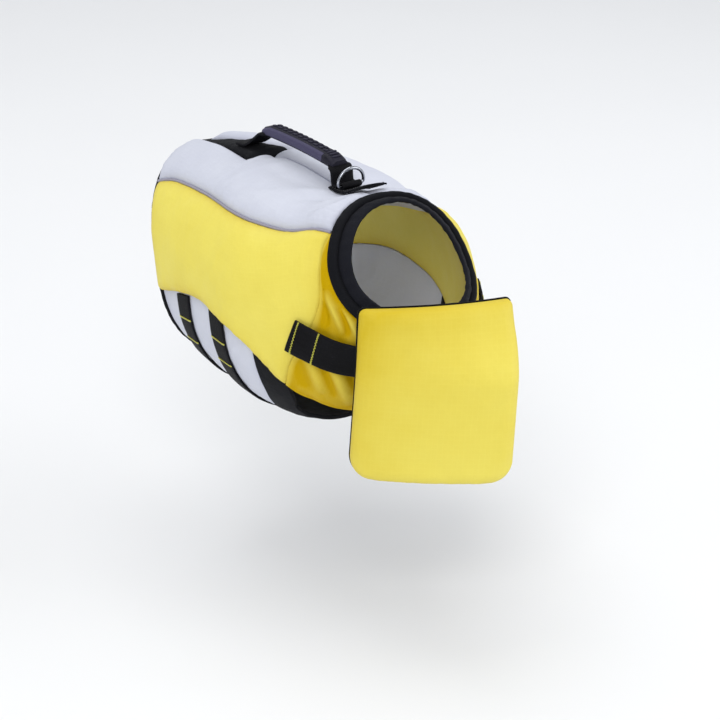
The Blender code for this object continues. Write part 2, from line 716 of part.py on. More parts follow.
def float_corner(neighbours):
    """The top right corner's place, at which the float just clears what lies behind it."""
    corner = np.array([FLOAT_TOP_CORNER_PLACE[0], 0.0, FLOAT_TOP_CORNER_PLACE[1]])
    corner[1] = neighbours[:, 1].min()
    _, hang, _ = float_frame(FLOAT_HEIGHT)
    for _ in range(FLOAT_SEAT_STEPS):
        below = (neighbours - corner) @ hang
        rolled, _, front = float_frame(below)
        across = ((neighbours - corner) * rolled).sum(-1) - FLOAT_WIDTH / 2
        ahead = ((neighbours - corner) * front).sum(-1) + float_bow(across)
        behind = (np.abs(across) < FLOAT_WIDTH / 2 + FLOAT_BACK_MARGIN) & (below > -FLOAT_BACK_MARGIN)
        corner[1] += ((FLOAT_REST_GAP + ahead) / front[:, 1])[behind & (below < FLOAT_HEIGHT)].min()
    return corner


def chin_float(neighbours):
    """Foam flap and its black backing, hung just clear of what lies behind it."""
    corner = float_corner(neighbours)
    t = np.linspace(-1, 1, 13)
    spread = np.sin(t * math.pi / 2)
    backing_depth = float_rows(FLOAT_BACK_MARGIN)
    half = float_outline(backing_depth, FLOAT_BACK_MARGIN)
    across = half[:, None] * spread[None, :]
    depth = np.broadcast_to(backing_depth[:, None], across.shape)
    rear = float_points(corner, depth, across, np.zeros(across.shape))
    face = float_points(corner, depth, across, np.full(across.shape, FLOAT_BACK_WALL))
    walled("chin_float_backing", face, rear, "black_cloth")
    foam_depth = float_rows(0.0)
    half = float_outline(foam_depth, 0.0)
    across = half[:, None] * spread[None, :]
    depth = np.broadcast_to(foam_depth[:, None], across.shape)
    to_side = half[:, None] - np.abs(across)
    to_head = np.minimum(depth, FLOAT_HEIGHT - depth)
    full = round_over((to_side, to_head), (FLOAT_ROUND, FLOAT_ROUND))
    start = FLOAT_BACK_WALL + 3 * SEAM_GAP
    back = float_points(corner, depth, across, np.full(across.shape, start))
    crown = start + FLOAT_WALL * (FLOAT_EDGE_SHARE + (1 - FLOAT_EDGE_SHARE) * full)
    walled("chin_float", float_points(corner, depth, across, crown), back, "yellow_cloth")


def spine_height(y, height):
    """The z of the spine at y, moved out by a height, taken straight up."""
    y = np.asarray(y, float)
    s = section_at(y, np.zeros(y.shape))
    return raised(s, np.zeros(y.shape), np.broadcast_to(height, y.shape))[..., 2]


def patch_crown(y):
    """Height of the back patch's middle over the body surface at y: it fills out towards its front."""
    along = section_at(y, np.zeros(y.shape)) / PATCH_FRONT[2][0]
    return PATCH_CROWN_REAR + (PATCH_CROWN - PATCH_CROWN_REAR) * along


def grip_middle(t):
    """The grip's centre line in y and z, from its rear end (0) to its front end (1)."""
    y = GRIP_REAR_Y + (GRIP_FRONT_Y - GRIP_REAR_Y) * t
    z = GRIP_REAR_Z + (GRIP_FRONT_Z - GRIP_REAR_Z) * t + GRIP_ARCH * (1 - (2 * t - 1) ** 2)
    return y, z


def band_along(name, y, z, width, wall, kind):
    """Flat webbing of one width along a line of y and z on the spine, its wall above the line."""
    run = np.stack([np.zeros_like(y), y, z], -1)
    forward = unit(np.gradient(run, axis=0))
    up = np.cross(forward, np.array([1.0, 0.0, 0.0]))
    across = np.linspace(-width / 2, width / 2, 3)
    side = np.stack([across, np.zeros(3), np.zeros(3)], -1)
    low = run[:, None] + side[None]
    walled(name, low + up[:, None] * wall, low, kind)


def handle_webbing():
    """Webbing of the handle: sewn down behind, up under the grip and down again in front."""
    rear_y = np.linspace(*HANDLE_REAR_FOOT, 4)
    rear_z = spine_height(rear_y, patch_crown(rear_y)) + 3 * SEAM_GAP
    grip_y, grip_z = grip_middle(np.linspace(0.0, 1.0, 13))
    grip_z = grip_z - GRIP_WALL / 2 - HANDLE_WEB_WALL - SEAM_GAP
    front_y = np.linspace(*HANDLE_FRONT_FOOT, 3)
    front_z = spine_height(front_y, HANDLE_BASE_TOP) + 2 * SEAM_GAP
    foot, tail, nose, toe = HANDLE_TURNS
    rise_y = (rear_y[-1] - foot[0], grip_y[0] + tail[0])
    rise_z = (rear_z[-1] + foot[1], grip_z[0] - tail[1])
    fall_y = (grip_y[-1] - nose[0], front_y[0] + toe[0])
    fall_z = (grip_z[-1] - nose[1], front_z[0] + toe[1])
    y = np.concatenate([rear_y, rise_y, grip_y, fall_y, front_y])
    z = np.concatenate([rear_z, rise_z, grip_z, fall_z, front_z])
    band_along("handle_webbing", y, z, HANDLE_WEB_WIDTH, HANDLE_WEB_WALL, "webbing")


def handle_base():
    """Black strip on the spine from under the handle's front end to the neck rim."""
    y = np.linspace(*HANDLE_BASE_Y, 9)
    across = np.linspace(-HANDLE_BASE_HALF, HANDLE_BASE_HALF, 5)
    middle = section_at(y, np.zeros(y.shape))
    angle = np.linspace(-30, 30, 121)
    v = np.empty((len(y), len(across)))
    for row, place in enumerate(middle):
        reach = point(np.full(angle.size, place), angle) - point(place, 0.0)
        v[row] = np.interp(across, np.linalg.norm(reach, axis=-1) * np.sign(angle), angle)
    s = np.broadcast_to(middle[:, None], v.shape)
    high = np.full(v.shape, HANDLE_BASE_TOP)
    walled("handle_base", raised(s, v, high), raised(s, v, high - HANDLE_BASE_WALL), "black_cloth")


def handle_grip():
    """Moulded rubber grip: an arched flat bar with lower ends and ribs across its top."""
    t = np.linspace(0, 1, 2 * GRIP_RIBS + 9)
    y, z = grip_middle(t)
    run = np.stack([np.zeros_like(y), y, z], -1)
    up = np.cross(unit(np.gradient(run, axis=0)), np.array([1.0, 0.0, 0.0]))
    ribbed = (t > GRIP_END) & (t < 1 - GRIP_END)
    wave = np.cos((t - GRIP_END) / (1 - 2 * GRIP_END) * 2 * math.pi * GRIP_RIBS)
    full = np.minimum(1.0, 0.55 + 0.45 * np.minimum(t, 1 - t) / GRIP_END)
    top = GRIP_WALL * (full - 0.5) + np.where(ribbed, GRIP_RIB_HEIGHT * wave, 0.0)
    low = np.full(len(t), -GRIP_WALL / 2)
    half = GRIP_WIDTH / 2 * np.minimum(1.0, 0.90 + 0.12 * full)
    # one flank of the section, from the top's edge to the underside's
    flank = ((half - 0.0025, top), (half, top - 0.0022), (half, low + 0.0010), (half - 0.0012, low))
    section = [(-x, h) for x, h in flank] + list(flank[::-1])
    across = np.stack([x for x, _ in section], 1)
    high = np.stack([h for _, h in section], 1)
    sideways = np.array([1.0, 0.0, 0.0])
    points = run[:, None] + across[..., None] * sideways + high[..., None] * up[:, None]
    loft("handle_grip", points, "grip_rubber")


def dring_height():
    """Height of the D-ring's bar: its loop lies on the strip ahead of the handle."""
    seat = spine_height(np.array([DRING_Y]), HANDLE_BASE_TOP)[0]
    return seat + LOOP_OUTER + SEAM_GAP


def dring_pivot():
    """Empty on the D-ring's bar, about which the ring swings."""
    pivot = bpy.data.objects.new("dring_pivot", None)
    pivot.location = (0, DRING_Y, dring_height())
    JACKET.objects.link(pivot)
    return pivot


def dring(pivot):
    """Steel D-ring: a straight bar and a round bow of one wire, leaning slightly forward."""
    half = DRING_WIDTH / 2 - DRING_WIRE
    tall = DRING_HEIGHT - 2 * DRING_WIRE
    bow = [(-half * math.cos(a), tall - half * 0.92 + half * 0.92 * math.sin(a))
           for a in np.linspace(0, math.pi, 17)]
    foot = [(half - DRING_CORNER * (1 - math.cos(a)), DRING_CORNER * (1 - math.sin(a)))
            for a in np.linspace(0.2, math.pi / 2, 4)]
    outline = bow + foot + [(-x, z) for x, z in foot[::-1]]
    lean = math.radians(DRING_LEAN)
    run = [(x, -z * math.sin(lean), z * math.cos(lean)) for x, z in outline]
    ring = wire("dring", run, DRING_WIRE, "ring_steel", cyclic=True)
    ring.parent = pivot


def dring_loop():
    """Webbing sleeve that holds the D-ring's bar."""
    bpy.ops.mesh.primitive_cylinder_add(vertices=16, radius=LOOP_OUTER, depth=LOOP_LENGTH)
    sleeve = bpy.context.active_object
    sleeve.name = "dring_loop"
    turn = Matrix.Translation((0, DRING_Y, dring_height())) @ Matrix.Rotation(math.pi / 2, 4, "Y")
    sleeve.data.transform(turn)
    sleeve.data.materials.append(material("webbing"))
    bpy.ops.mesh.primitive_cylinder_add(vertices=16, radius=LOOP_BORE, depth=LOOP_LENGTH * 2)
    bore = bpy.context.active_object
    bore.name = "dring_loop_bore"
    bore.data.transform(turn)
    cut = sleeve.modifiers.new("bore", "BOOLEAN")
    cut.operation = "DIFFERENCE"
    cut.object = bore
    cut.solver = "EXACT"
    for obj, home in ((sleeve, JACKET), (bore, CUTTERS)):
        for old in list(obj.users_collection):
            old.objects.unlink(obj)
        home.objects.link(obj)
    bore.hide_render = True
    bore.display_type = "WIRE"


def build():
    """Makes every piece of the jacket."""
    for left in (False, True):
        back_panel(left)
        side_panel(left)
        piping(left)
        chest_panel(left)
        belly_panel(left)
        belly_gusset(left)
    back_patch()
    belly_centre()
    hem_binding()
    neck = neck_finish()
    belly_strap("belly_strap_rear", BELLY_STRAP_REAR_Y)
    belly_strap("belly_strap_front", BELLY_STRAP_FRONT_Y)
    strap = chest_strap()
    chin_float(np.concatenate([neck, strap]))
    handle_base()
    handle_webbing()
    handle_grip()
    pivot = dring_pivot()
    dring(pivot)
    dring_loop()


clear_scene()
JACKET = new_collection("dog_life_jacket")
CUTTERS = new_collection("cutters")
build()
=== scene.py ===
"""Dressed model of a dog life jacket: cloth, foam, webbing, grab handle, chin float and its stage.

The jacket faces -Y with +Z up and the wearer's right flank lies at -X. Every cloth piece lies on one body
surface, point(s, v): s runs from the rear hem (0) to the neck seam (1), and v is the angle round the body
from the spine (0) down the right flank to the belly (180). Lengths are in metres.
"""

import math

import bmesh
import bpy
import numpy as np
from mathutils import Matrix, Vector


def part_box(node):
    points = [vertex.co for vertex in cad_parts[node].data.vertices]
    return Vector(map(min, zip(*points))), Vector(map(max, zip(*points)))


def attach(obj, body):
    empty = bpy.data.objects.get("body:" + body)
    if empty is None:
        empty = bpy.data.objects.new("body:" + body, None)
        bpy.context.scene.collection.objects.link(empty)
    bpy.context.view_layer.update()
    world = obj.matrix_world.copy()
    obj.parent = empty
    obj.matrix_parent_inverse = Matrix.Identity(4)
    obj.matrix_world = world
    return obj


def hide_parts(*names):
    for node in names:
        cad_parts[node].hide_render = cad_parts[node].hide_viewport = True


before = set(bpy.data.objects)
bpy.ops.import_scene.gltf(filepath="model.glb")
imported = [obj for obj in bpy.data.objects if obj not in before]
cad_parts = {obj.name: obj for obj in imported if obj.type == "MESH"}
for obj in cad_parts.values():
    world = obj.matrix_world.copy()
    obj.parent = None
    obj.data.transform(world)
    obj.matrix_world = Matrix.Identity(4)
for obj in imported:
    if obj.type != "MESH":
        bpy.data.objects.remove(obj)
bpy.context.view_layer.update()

bl_info = {
    "name": "Dog life jacket",
    "version": (1, 0, 0),
    "blender": (4, 5, 0),
    "location": "View3D > Sidebar > Jacket",
    "description": "Builds the pieces, cloth and stage of a dog life jacket",
    "category": "Object",
}

# Body and seams

HOLD_HEIGHT = 0.3000
# Gap between pieces, and the gap that a piece keeps from its own seam line
SEAM_GAP = 0.0003
EDGE_GAP = 0.0001
# Widths of softened edges: of seamed cloth, of webbing and rubber, and of cloth that runs on past its seam
SOFT_EDGE = 0.0006
HARD_EDGE = 0.0004
FINE_EDGE = 0.0001
# Short steps in s and in degrees for the slopes of the surface
STEP_S = 0.004
STEP_V = 1.0
# Straight-line steps that find the place of a given y
SECTION_STEPS = 14
# Grid of each kind of panel: from rear to front and from top to bottom
GRIDS = {
    "back": (150, 84),
    "side": (150, 100),
    "patch": (60, 36),
    "chest": (130, 90),
    "belly": (90, 44),
    "gusset": (20, 44),
    "centre": (80, 56),
    "float": (110, 90),
    "backing": (70, 60),
}
BODY_RINGS = (
    # x      y       z       lean  turn  half_w  up      down
    (0.000, 0.150, 0.2170, 0.0, 0.0, 0.0800, 0.0770, 0.0780),
    (0.000, 0.100, 0.2200, 0.0, 0.0, 0.0880, 0.0830, 0.0880),
    (0.000, 0.050, 0.2200, 0.0, 0.0, 0.0940, 0.0860, 0.0960),
    (0.000, 0.000, 0.2220, 4.0, 0.0, 0.0980, 0.0860, 0.1050),
    (-0.001, -0.048, 0.2300, 14.0, 2.0, 0.0980, 0.0780, 0.1120),
    (-0.003, -0.095, 0.2490, 29.0, 5.0, 0.0830, 0.0620, 0.0990),
    (-0.006, -0.139, 0.2715, 46.0, 9.0, 0.0545, 0.0630, 0.0580),
)
SECTION_POWER = 2.3
# Rear hem: how far along the sections it lies, at every 30 degrees from spine to belly
HEM_PLACE = (0.0, 0.055, 0.145, 0.228, 0.250, 0.245, 0.23)
# Neck seam: how far it is drawn back along the sections at the same angles, and how quickly that fades
NECK_DRAWN = (0.0, 0.0, 0.009, 0.024, 0.013, 0.005, 0.0)
NECK_FADE = 8

# Seams of the right side, as columns s and v
SPINE_EDGE = ((0, 3.2), (0.11, 5.2), (0.22, 7.4), (0.341, 9.2), (0.350, 5.2), (0.355, 0.25),
              (0.385, 0.25), (0.45, 0.25), (0.55, 0.25), (0.66, 0.25), (0.77, 0.25), (0.885, 0.25), (1, 0.25))
PATCH_FRONT = ((0.341, 9.2), (0.350, 5.2), (0.355, 0), (0.350, -5.2), (0.341, -9.2))
SHOULDER_SEAM = ((0, 45.5), (0.09, 41.4), (0.19, 39.8), (0.29, 39.5), (0.35, 40.1), (0.40, 40.8),
                 (0.44, 41.4), (0.50, 41.6), (0.585, 41.1), (0.68, 40.8), (0.785, 41.3), (0.90, 44.8),
                 (1, 54.5))
FLANK_EDGE = ((0, 99), (0.165, 93), (0.33, 91), (0.495, 95.5), (0.575, 101), (0.62, 107.5), (0.645, 115),
              (0.662, 124))
FLANK_FRONT = ((1, 54.5), (0.982, 66), (0.972, 79), (0.950, 91), (0.900, 101), (0.82, 109), (0.735, 114.5),
               (0.662, 124))
CHEST_EDGE = ((0.662, 124), (0.676, 130), (0.698, 137), (0.717, 145), (0.733, 155), (0.743, 167),
              (0.745, 180))
BELLY_SIDE = 141.0
BELLY_FRONT = ((0.598, 104), (0.579, 111.5), (0.562, 119), (0.541, 128), (0.50, 141))
GUSSET_FRONT = ((0.656, 120.5), (0.648, 127), (0.628, 134.5), (0.600, 141))
BELLY_CENTRE_FRONT = ((0.600, 141), (0.575, 155), (0.565, 180))

# Heights over the body surface
FOAM_SEAM = -0.0024
FOAM_INNER_SEAM = -0.0060
FOAM_INNER = -0.0078
FOAM_ROUND = 0.019
SPINE_ROUND = 0.011
HEM_ROUND = 0.010
FLANK_LOW_ROUND = 0.006
FLANK_FRONT_ROUND = 0.013
PATCH_CROWN = 0.0056
PATCH_CROWN_REAR = -0.0018
PATCH_ROUND = 0.010
# Depth of the groove where the two back panels meet ahead of the patch
SPINE_GROOVE = 0.0014
# Where that groove starts and how far it takes to form, in s; its half width, and how near the neck it fades
GROOVE_START = 0.37
GROOVE_FORMS = 0.06
GROOVE_WIDTH = 0.012
GROOVE_NECK = 0.020
BELLY_TOP = -0.0036
BELLY_WALL = 0.0032
CHEST_TOP = -0.0014
CHEST_WALL = 0.0024
CHEST_ROUNDS = (0.014, 0, 0.008, 0)
CHEST_TUCK = 0.0010
# Reach of the flank foam's thinning towards the chest, and the length of the corners that it leaves out
THIN_REACH = 0.005
THIN_CORNER = 0.006
# Painted shade where the flank's foam passes over to the loose cloth of the chest: share, its reach on the
# flank, and the share across the chest
FRONT_SHADE = 0.30
FRONT_SHADE_REACH = 0.014
CHEST_SHADE = 0.82
# Where the chest's painted shade starts and how far the change takes
SHADE_START = 0.0005
SHADE_REACH = 0.010
# Painted shade of a fold: how much deeper the colour is in a trough, and lighter on a ridge, per metre of
# depth
FOLD_SHADE = 170.0
# How far the painted shade of a seam reaches into a panel
SEAM_SHADE_REACH = 0.004

# Soft ridges (+) and troughs (-) of each panel: from s, v to s, v, then width and height
BACK_CREASES = (
    (0.93, 9, 0.80, 22, 0.0035, 0.0013),
    (0.95, 14, 0.84, 30, 0.0040, -0.0012),
    (0.90, 7, 0.72, 16, 0.0045, -0.0012),
    (0.98, 20, 0.87, 38, 0.0038, 0.0012),
    (0.99, 28, 0.90, 48, 0.0042, -0.0009),
    (0.79, 4, 0.68, 13, 0.0040, 0.0010),
    (0.80, 10, 0.70, 24, 0.0050, -0.0009),
    (0.72, 5, 0.46, 9, 0.0085, -0.0024),
    (0.44, 9, 0.60, 20, 0.0100, -0.0010),
    (0.30, 16, 0.46, 25, 0.0120, 0.0006),
    (0.06, 12, 0.20, 30, 0.0110, -0.0006),
    (0.55, 30, 0.80, 36, 0.0080, 0.0006),
)
SIDE_CREASES = (
    (0.960, 60, 0.925, 90, 0.0060, -0.0013),
    (0.915, 62, 0.880, 94, 0.0070, 0.0008),
    (0.88, 92, 0.78, 110, 0.0070, -0.0010),
    (0.80, 94, 0.68, 108, 0.0080, 0.0007),
    (0.40, 58, 0.62, 72, 0.0160, -0.0010),
    (0.10, 70, 0.34, 84, 0.0150, 0.0007),
    (0.58, 96, 0.74, 106, 0.0090, -0.0008),
)
CHEST_FOLDS = (
    (0.935, 97, 0.905, 110, 0.0034, -0.0022),
    (0.968, 92, 0.935, 120, 0.0042, 0.0032),
    (0.980, 104, 0.938, 124, 0.0030, -0.0024),
    (0.994, 106, 0.950, 132, 0.0040, 0.0030),
    (0.996, 122, 0.955, 140, 0.0034, -0.0022),
    (0.998, 134, 0.960, 154, 0.0060, 0.0020),
    (0.995, 152, 0.962, 168, 0.0050, -0.0013),
    (0.872, 130, 0.812, 150, 0.0036, -0.0034),
    (0.846, 124, 0.758, 153, 0.0050, 0.0030),
    (0.820, 119, 0.760, 143, 0.0032, -0.0020),
    (0.800, 113, 0.742, 137, 0.0048, 0.0022),
    (0.750, 112, 0.715, 129, 0.0050, -0.0012),
    (0.870, 146, 0.780, 166, 0.0080, 0.0020),
    (0.880, 160, 0.790, 176, 0.0060, -0.0014),
    (0.700, 126, 0.722, 142, 0.0046, 0.0009),
)
METRES_PER_S = 0.290
METRES_PER_DEGREE = 0.0016
# How much further back the left side's creases lie, in s
LEFT_SHIFT = 0.022
# How far a crease bows, as a share of its length
CREASE_BOW = 0.06

# Piping and webbing
PIPING_CHANNEL = 0.0031
# How far the foam panels end from the shoulder seam, on either side of the piping
PIPING_GAP = PIPING_CHANNEL / 2 - 0.0004
PIPING_HEIGHT = -0.0016
PIPING_RADIUS = 0.0013
PIPING_ENDS = (0.002, 0.998)
PIPING_ROWS = 260
PIPING_SIDES = 12
BELLY_STRAP_WIDTH = 0.020
BELLY_STRAP_WALL = 0.0020
BELLY_STRAP_REST = BELLY_TOP + 0.0004
BELLY_STRAP_MIDDLES = {"belly_strap_rear": 0.0365, "belly_strap_front": -0.0170}
CHEST_STRAP_WIDTH = 0.0265
CHEST_STRAP_WALL = 0.0022
CHEST_STRAP = (
    # s     v    rest height
    (0.797, 104, 0.0034),
    (0.820, 108.5, 0.0034),
    (0.840, 113, 0.0033),
    (0.865, 121, 0.0031),
    (0.885, 128.5, 0.0029),
    (0.903, 136, 0.0027),
    (0.918, 148, 0.0025),
    (0.926, 163, 0.0024),
    (0.930, 180, 0.0023),
)
# Cross seams of the straps: distances from the strap's end
BELLY_TACKS = {"belly_strap_rear": (0.021, 0.042), "belly_strap_front": (0.022, 0.043)}
BELLY_TACK_SKEW = {"belly_strap_rear": 0.0, "belly_strap_front": -0.0030}
CHEST_TACKS = (0.0042, 0.0222)
TACK_SWING = 0.00055
TACK_THREAD = 0.00036
TACK_STEPS = 30
TACK_INSET = 0.0012
# Places across a strap, closer together at its edges, and the share of its wall at each
STRAP_OFFSETS = np.sin(np.linspace(-0.5, 0.5, 13) * math.pi) / 2
STRAP_WALL_SHARE = 1 - 0.22 * np.abs(2 * STRAP_OFFSETS) ** 8
STRAP_ROWS = 220

# Neck finish and hem
RIM_WIDTH = 0.0080
RIM_WALL = 0.0068
RIM_HEIGHT = -0.0026
RIM_SLOPE = 0.05
BAND_WIDTH = 0.0105
BAND_WALL = 0.0040
BAND_HEIGHT = -0.0052
BAND_SLOPE = 0.12
HEM_WIDTH = 0.0050
HEM_WALL = 0.0048
HEM_HEIGHT = -0.0044
# Width of the tape that is folded round the hem, as far as it shows
HEM_TAPE = 0.0101
# Points round a ring of the neck or hem and round its section, and the length of its gathers
RING_COUNT = 360
RING_SIDES = 28
RING_GATHER = 0.016

# Chin float
FLOAT_TURN = 33.0
FLOAT_TOP_TURN = 17.0
FLOAT_TWIST_DEPTH = 0.055
FLOAT_ROLL = 3.4
FLOAT_TILT = 1.5
FLOAT_WIDTH = 0.1185
FLOAT_FOOT_EXTRA = 0.003
FLOAT_HEIGHT = 0.133
FLOAT_WALL = 0.0110
FLOAT_CORNER = 0.018
FLOAT_TOP_CORNER = 0.005
FLOAT_TOP_CORNER_PLACE = (-0.0662, 0.2608 - HOLD_HEIGHT)
FLOAT_BOW = 0.0060
FLOAT_ROUND = 0.011
FLOAT_EDGE_SHARE = 0.28
FLOAT_BACK_WALL = 0.0016
FLOAT_BACK_MARGIN = 0.0006
# Painted shade of the float: share at its right edge and how far that reaches, how much of it is lost at the
# foot, and the share at the top and its reach
FLOAT_RIM_SHADE = 0.75
FLOAT_RIM_SHADE_REACH = 0.040
FLOAT_FOOT_SHADE_LOSS = 0.60
FLOAT_HEAD_SHADE = 0.40
FLOAT_HEAD_SHADE_REACH = 0.030
# Soft dents and swells of the float: from and to as distance across from its middle and depth, width, height
FLOAT_CREASES = (
    (-0.050, 0.004, -0.018, 0.058, 0.0120, -0.0014),
    (-0.052, 0.050, -0.046, 0.104, 0.0070, 0.0008),
    (-0.010, 0.060, 0.038, 0.040, 0.0160, 0.0010),
    (0.022, 0.010, 0.050, 0.052, 0.0100, -0.0008),
    (-0.030, 0.112, 0.014, 0.120, 0.0080, -0.0008),
)

# Grab handle
GRIP_REAR_Y = 0.049
GRIP_FRONT_Y = -0.048
GRIP_WIDTH = 0.0150
GRIP_WALL = 0.0056
GRIP_REAR_Z = 0.3305 - HOLD_HEIGHT
GRIP_FRONT_Z = 0.3282 - HOLD_HEIGHT
GRIP_ARCH = 0.0018
GRIP_END = 0.10
GRIP_LUGS = 11
GRIP_LUG_HEIGHT = 0.0011
GRIP_SKIRT = 0.0022
# Place along the grip where its front block starts
GRIP_BLOCK = 0.865
HANDLE_WEB_WIDTH = 0.020
HANDLE_WEB_WALL = 0.0022
HANDLE_WEB_FOLD = 0.0062
# How far inside the grip the fold starts and the length that it takes
FOLD_INSET = 0.001
FOLD_EASE = 0.006
# Points along the handle's line, and how many to either side its rounding takes in
HANDLE_ROWS = 320
HANDLE_SPREAD = 6
HANDLE_REAR_FOOT = (0.0825, 0.0705)
HANDLE_FRONT_FOOT = (-0.0505, -0.0565)
HANDLE_TURNS = ((0.0020, 0.0014), (0.0150, 0.0115), (0.0012, 0.0022), (0.0008, 0.0030))
HANDLE_BASE_WALL = 0.0013
HANDLE_BASE_Y = (-0.0475, -0.0915)
HANDLE_BASE_HALF = 0.0108
HANDLE_BASE_LIFT = 0.0030
HANDLE_BASE_ROWS = 60
HANDLE_BASE_COLUMNS = 25
HANDLE_BASE_ROUND = 0.004
STITCH_INSET = 0.0018
STITCH_PITCH = 0.0027
STITCH_LENGTH = 0.0019
STITCH_THREAD = 0.00030

# D-ring
DRING_Y = -0.0620
DRING_WIDTH = 0.026
DRING_HEIGHT = 0.0160
DRING_WIRE = 0.0013
DRING_CORNER = 0.0025
DRING_LEAN = 3.0
LOOP_LENGTH = 0.018
LOOP_BORE = 0.0016
LOOP_OUTER = 0.0026
LOOP_SIDES = 48

# Camera and stage
CAMERA_PLACE = (-0.925, -1.347, 0.572)
CAMERA_AZIMUTH = -36.0
CAMERA_ELEVATION = 24.0
CAMERA_LENS = 110.0
SENSOR_WIDTH = 36.0
STAGE_CENTRE = (0.0, -0.02, -0.05)
LIGHTS = (
    # name  place             size        colour
    ("key", (-1.5, -1.7, 1.9), (1.6, 1.6), (1.0, 0.99, 0.97)),
    ("fill", (1.9, -1.5, 0.9), (1.8, 1.8), (0.98, 0.99, 1.0)),
    ("top", (0.2, 0.9, 2.2), (1.8, 1.8), (1.0, 1.0, 1.0)),
    ("low", (-1.6, -0.3, -0.20), (1.2, 0.5), (0.98, 0.99, 1.0)),
)
# Backdrop: half width, front and rear of its floor, radius of its curve and height of its wall
SWEEP_HALF = 6
SWEEP_FLOOR = (-4.0, 2.4)
SWEEP_RADIUS = 1.2
SWEEP_WALL = 12.0
# Shares of the backdrop at which its curve starts and ends
SWEEP_TURN = (0.45, 0.70)
SWEEP_ROWS = 60
SWEEP_COLUMNS = 3

# Direction from the right flank to the left
ACROSS = np.array([1.0, 0.0, 0.0])
SIDES = (False, True)


def linear(code):
    """An sRGB hex colour as linear red, green and blue."""
    values = np.array([int(code[k:k + 2], 16) for k in (0, 2, 4)]) / 255
    low = values / 12.92
    high = ((values + 0.055) / 1.055) ** 2.4
    return tuple(float(x) for x in np.where(values <= 0.04045, low, high))


# Surface arithmetic


def smooth_rows(table, t):
    """A smooth curve through the table's rows (Catmull-Rom), read at t from 0 to 1."""
    rows = np.asarray(table, float)
    place = np.clip(np.asarray(t, float), 0, 1) * (len(rows) - 1)
    first = np.clip(place.astype(int), 0, len(rows) - 2)
    part = (place - first)[..., None]
    ends = np.vstack([2 * rows[0] - rows[1], rows, 2 * rows[-1] - rows[-2]])
    before = ends[first]
    start = ends[first + 1]
    stop = ends[first + 2]
    after = ends[first + 3]
    bend = 2 * before - 5 * start + 4 * stop - after
    twist = 3 * start - before - 3 * stop + after
    return 0.5 * (2 * start + (stop - before) * part + bend * part ** 2 + twist * part ** 3)


def round_body(table, v):
    """A table's value at the angle v, the same on both flanks."""
    angle = np.abs((np.asarray(v, float) + 180) % 360 - 180)
    return smooth_rows([[row] for row in table], angle / 180)[..., 0]


def point(s, v):
    """Body surface: a superellipse of half width, rise and drop, leant and turned about its centre."""
    s, v = np.broadcast_arrays(np.asarray(s, float), np.asarray(v, float))
    hem = round_body(HEM_PLACE, v)
    drawn = round_body(NECK_DRAWN, v) * s ** NECK_FADE
    columns = smooth_rows(BODY_RINGS, hem + (1 - hem) * s - drawn)
    x, y, z, lean, turn, half, rise, drop = np.moveaxis(columns, -1, 0)
    angle = np.radians(v)
    power = 2 / SECTION_POWER
    across = -half * signed_power(np.sin(angle), power)
    high = np.where(np.cos(angle) >= 0, rise, drop) * signed_power(np.cos(angle), power)
    lean = np.radians(lean)
    turn = np.radians(turn)
    back = high * np.sin(lean)
    px = x + across * np.cos(turn) + back * np.sin(turn)
    py = y - across * np.sin(turn) + back * np.cos(turn)
    pz = z + high * np.cos(lean) - HOLD_HEIGHT
    return np.stack([px, py, pz], -1)


def unit(vectors):
    """The same directions at length one."""
    return vectors / np.maximum(np.linalg.norm(vectors, axis=-1, keepdims=True), 1e-12)


def smooth_step(t):
    """From 0 to 1 with level ends, held at both."""
    t = np.clip(t, 0, 1)
    return t * t * (3 - 2 * t)


def signed_power(values, power):
    """The size of each value raised to a power, with its sign kept."""
    return np.sign(values) * np.abs(values) ** power


def round_angles(count):
    """Even angles once round a circle."""
    return np.linspace(0, 2 * math.pi, count, endpoint=False)


def run_along(path):
    """The distance along a path at each of its points."""
    return np.concatenate([[0], np.cumsum(np.linalg.norm(np.diff(path, axis=0), axis=-1))])


def mesh_places(along, across):
    """Places on the flat cloth in millimetres, from distances along the rows and across the columns."""
    return np.stack(np.broadcast_arrays(along[:, None], across), -1) * 1000


def slopes(s, v):
    """How the surface point moves with s and with v, from differences across a short step."""
    low = np.clip(np.asarray(s, float) - STEP_S, 0, 1)
    high = np.clip(np.asarray(s, float) + STEP_S, 0, 1)
    along = (point(high, v) - point(low, v)) / (high - low)[..., None]
    around = (point(s, v + STEP_V) - point(s, v - STEP_V)) / (2 * STEP_V)
    return along, around


def normal(s, v):
    """The outward direction of the body surface."""
    s, v = np.broadcast_arrays(np.asarray(s, float), np.asarray(v, float))
    along, around = slopes(s, v)
    return unit(np.cross(around, along))


def surface_step(s, v, move):
    """The s, v that lie a small move away along the surface."""
    along, around = slopes(s, v)
    aa = (along * along).sum(-1)
    bb = (around * around).sum(-1)
    ab = (along * around).sum(-1)
    ma = (move * along).sum(-1)
    mb = (move * around).sum(-1)
    det = aa * bb - ab * ab
    return s + (ma * bb - mb * ab) / det, v + (mb * aa - ma * ab) / det


def raised(s, v, height):
    """The surface point moved out by a height."""
    height = np.asarray(height, float)
    return point(s, v) + normal(s, v) * height[..., None]


def section_at(y, v):
    """The place s of the points that have a given y, by repeated straight-line steps."""
    y, v = np.broadcast_arrays(np.asarray(y, float), np.asarray(v, float))
    s = np.full(y.shape, 0.5)
    for _ in range(SECTION_STEPS):
        low = np.clip(s - STEP_S, 0, 1)
        high = np.clip(s + STEP_S, 0, 1)
        slope = (point(high, v)[..., 1] - point(low, v)[..., 1]) / (high - low)
        s = np.clip(s + (y - point(s, v)[..., 1]) / slope, 0, 1)
    return s


def mirrored(table):
    """A seam table of the right side, as the same seam on the left."""
    return tuple((s, 360 - v) for s, v in table)


def sided(tables, left):
    """The edge tables of a patch on the right, or mirrored to the left."""
    return [mirrored(table) for table in tables] if left else list(tables)


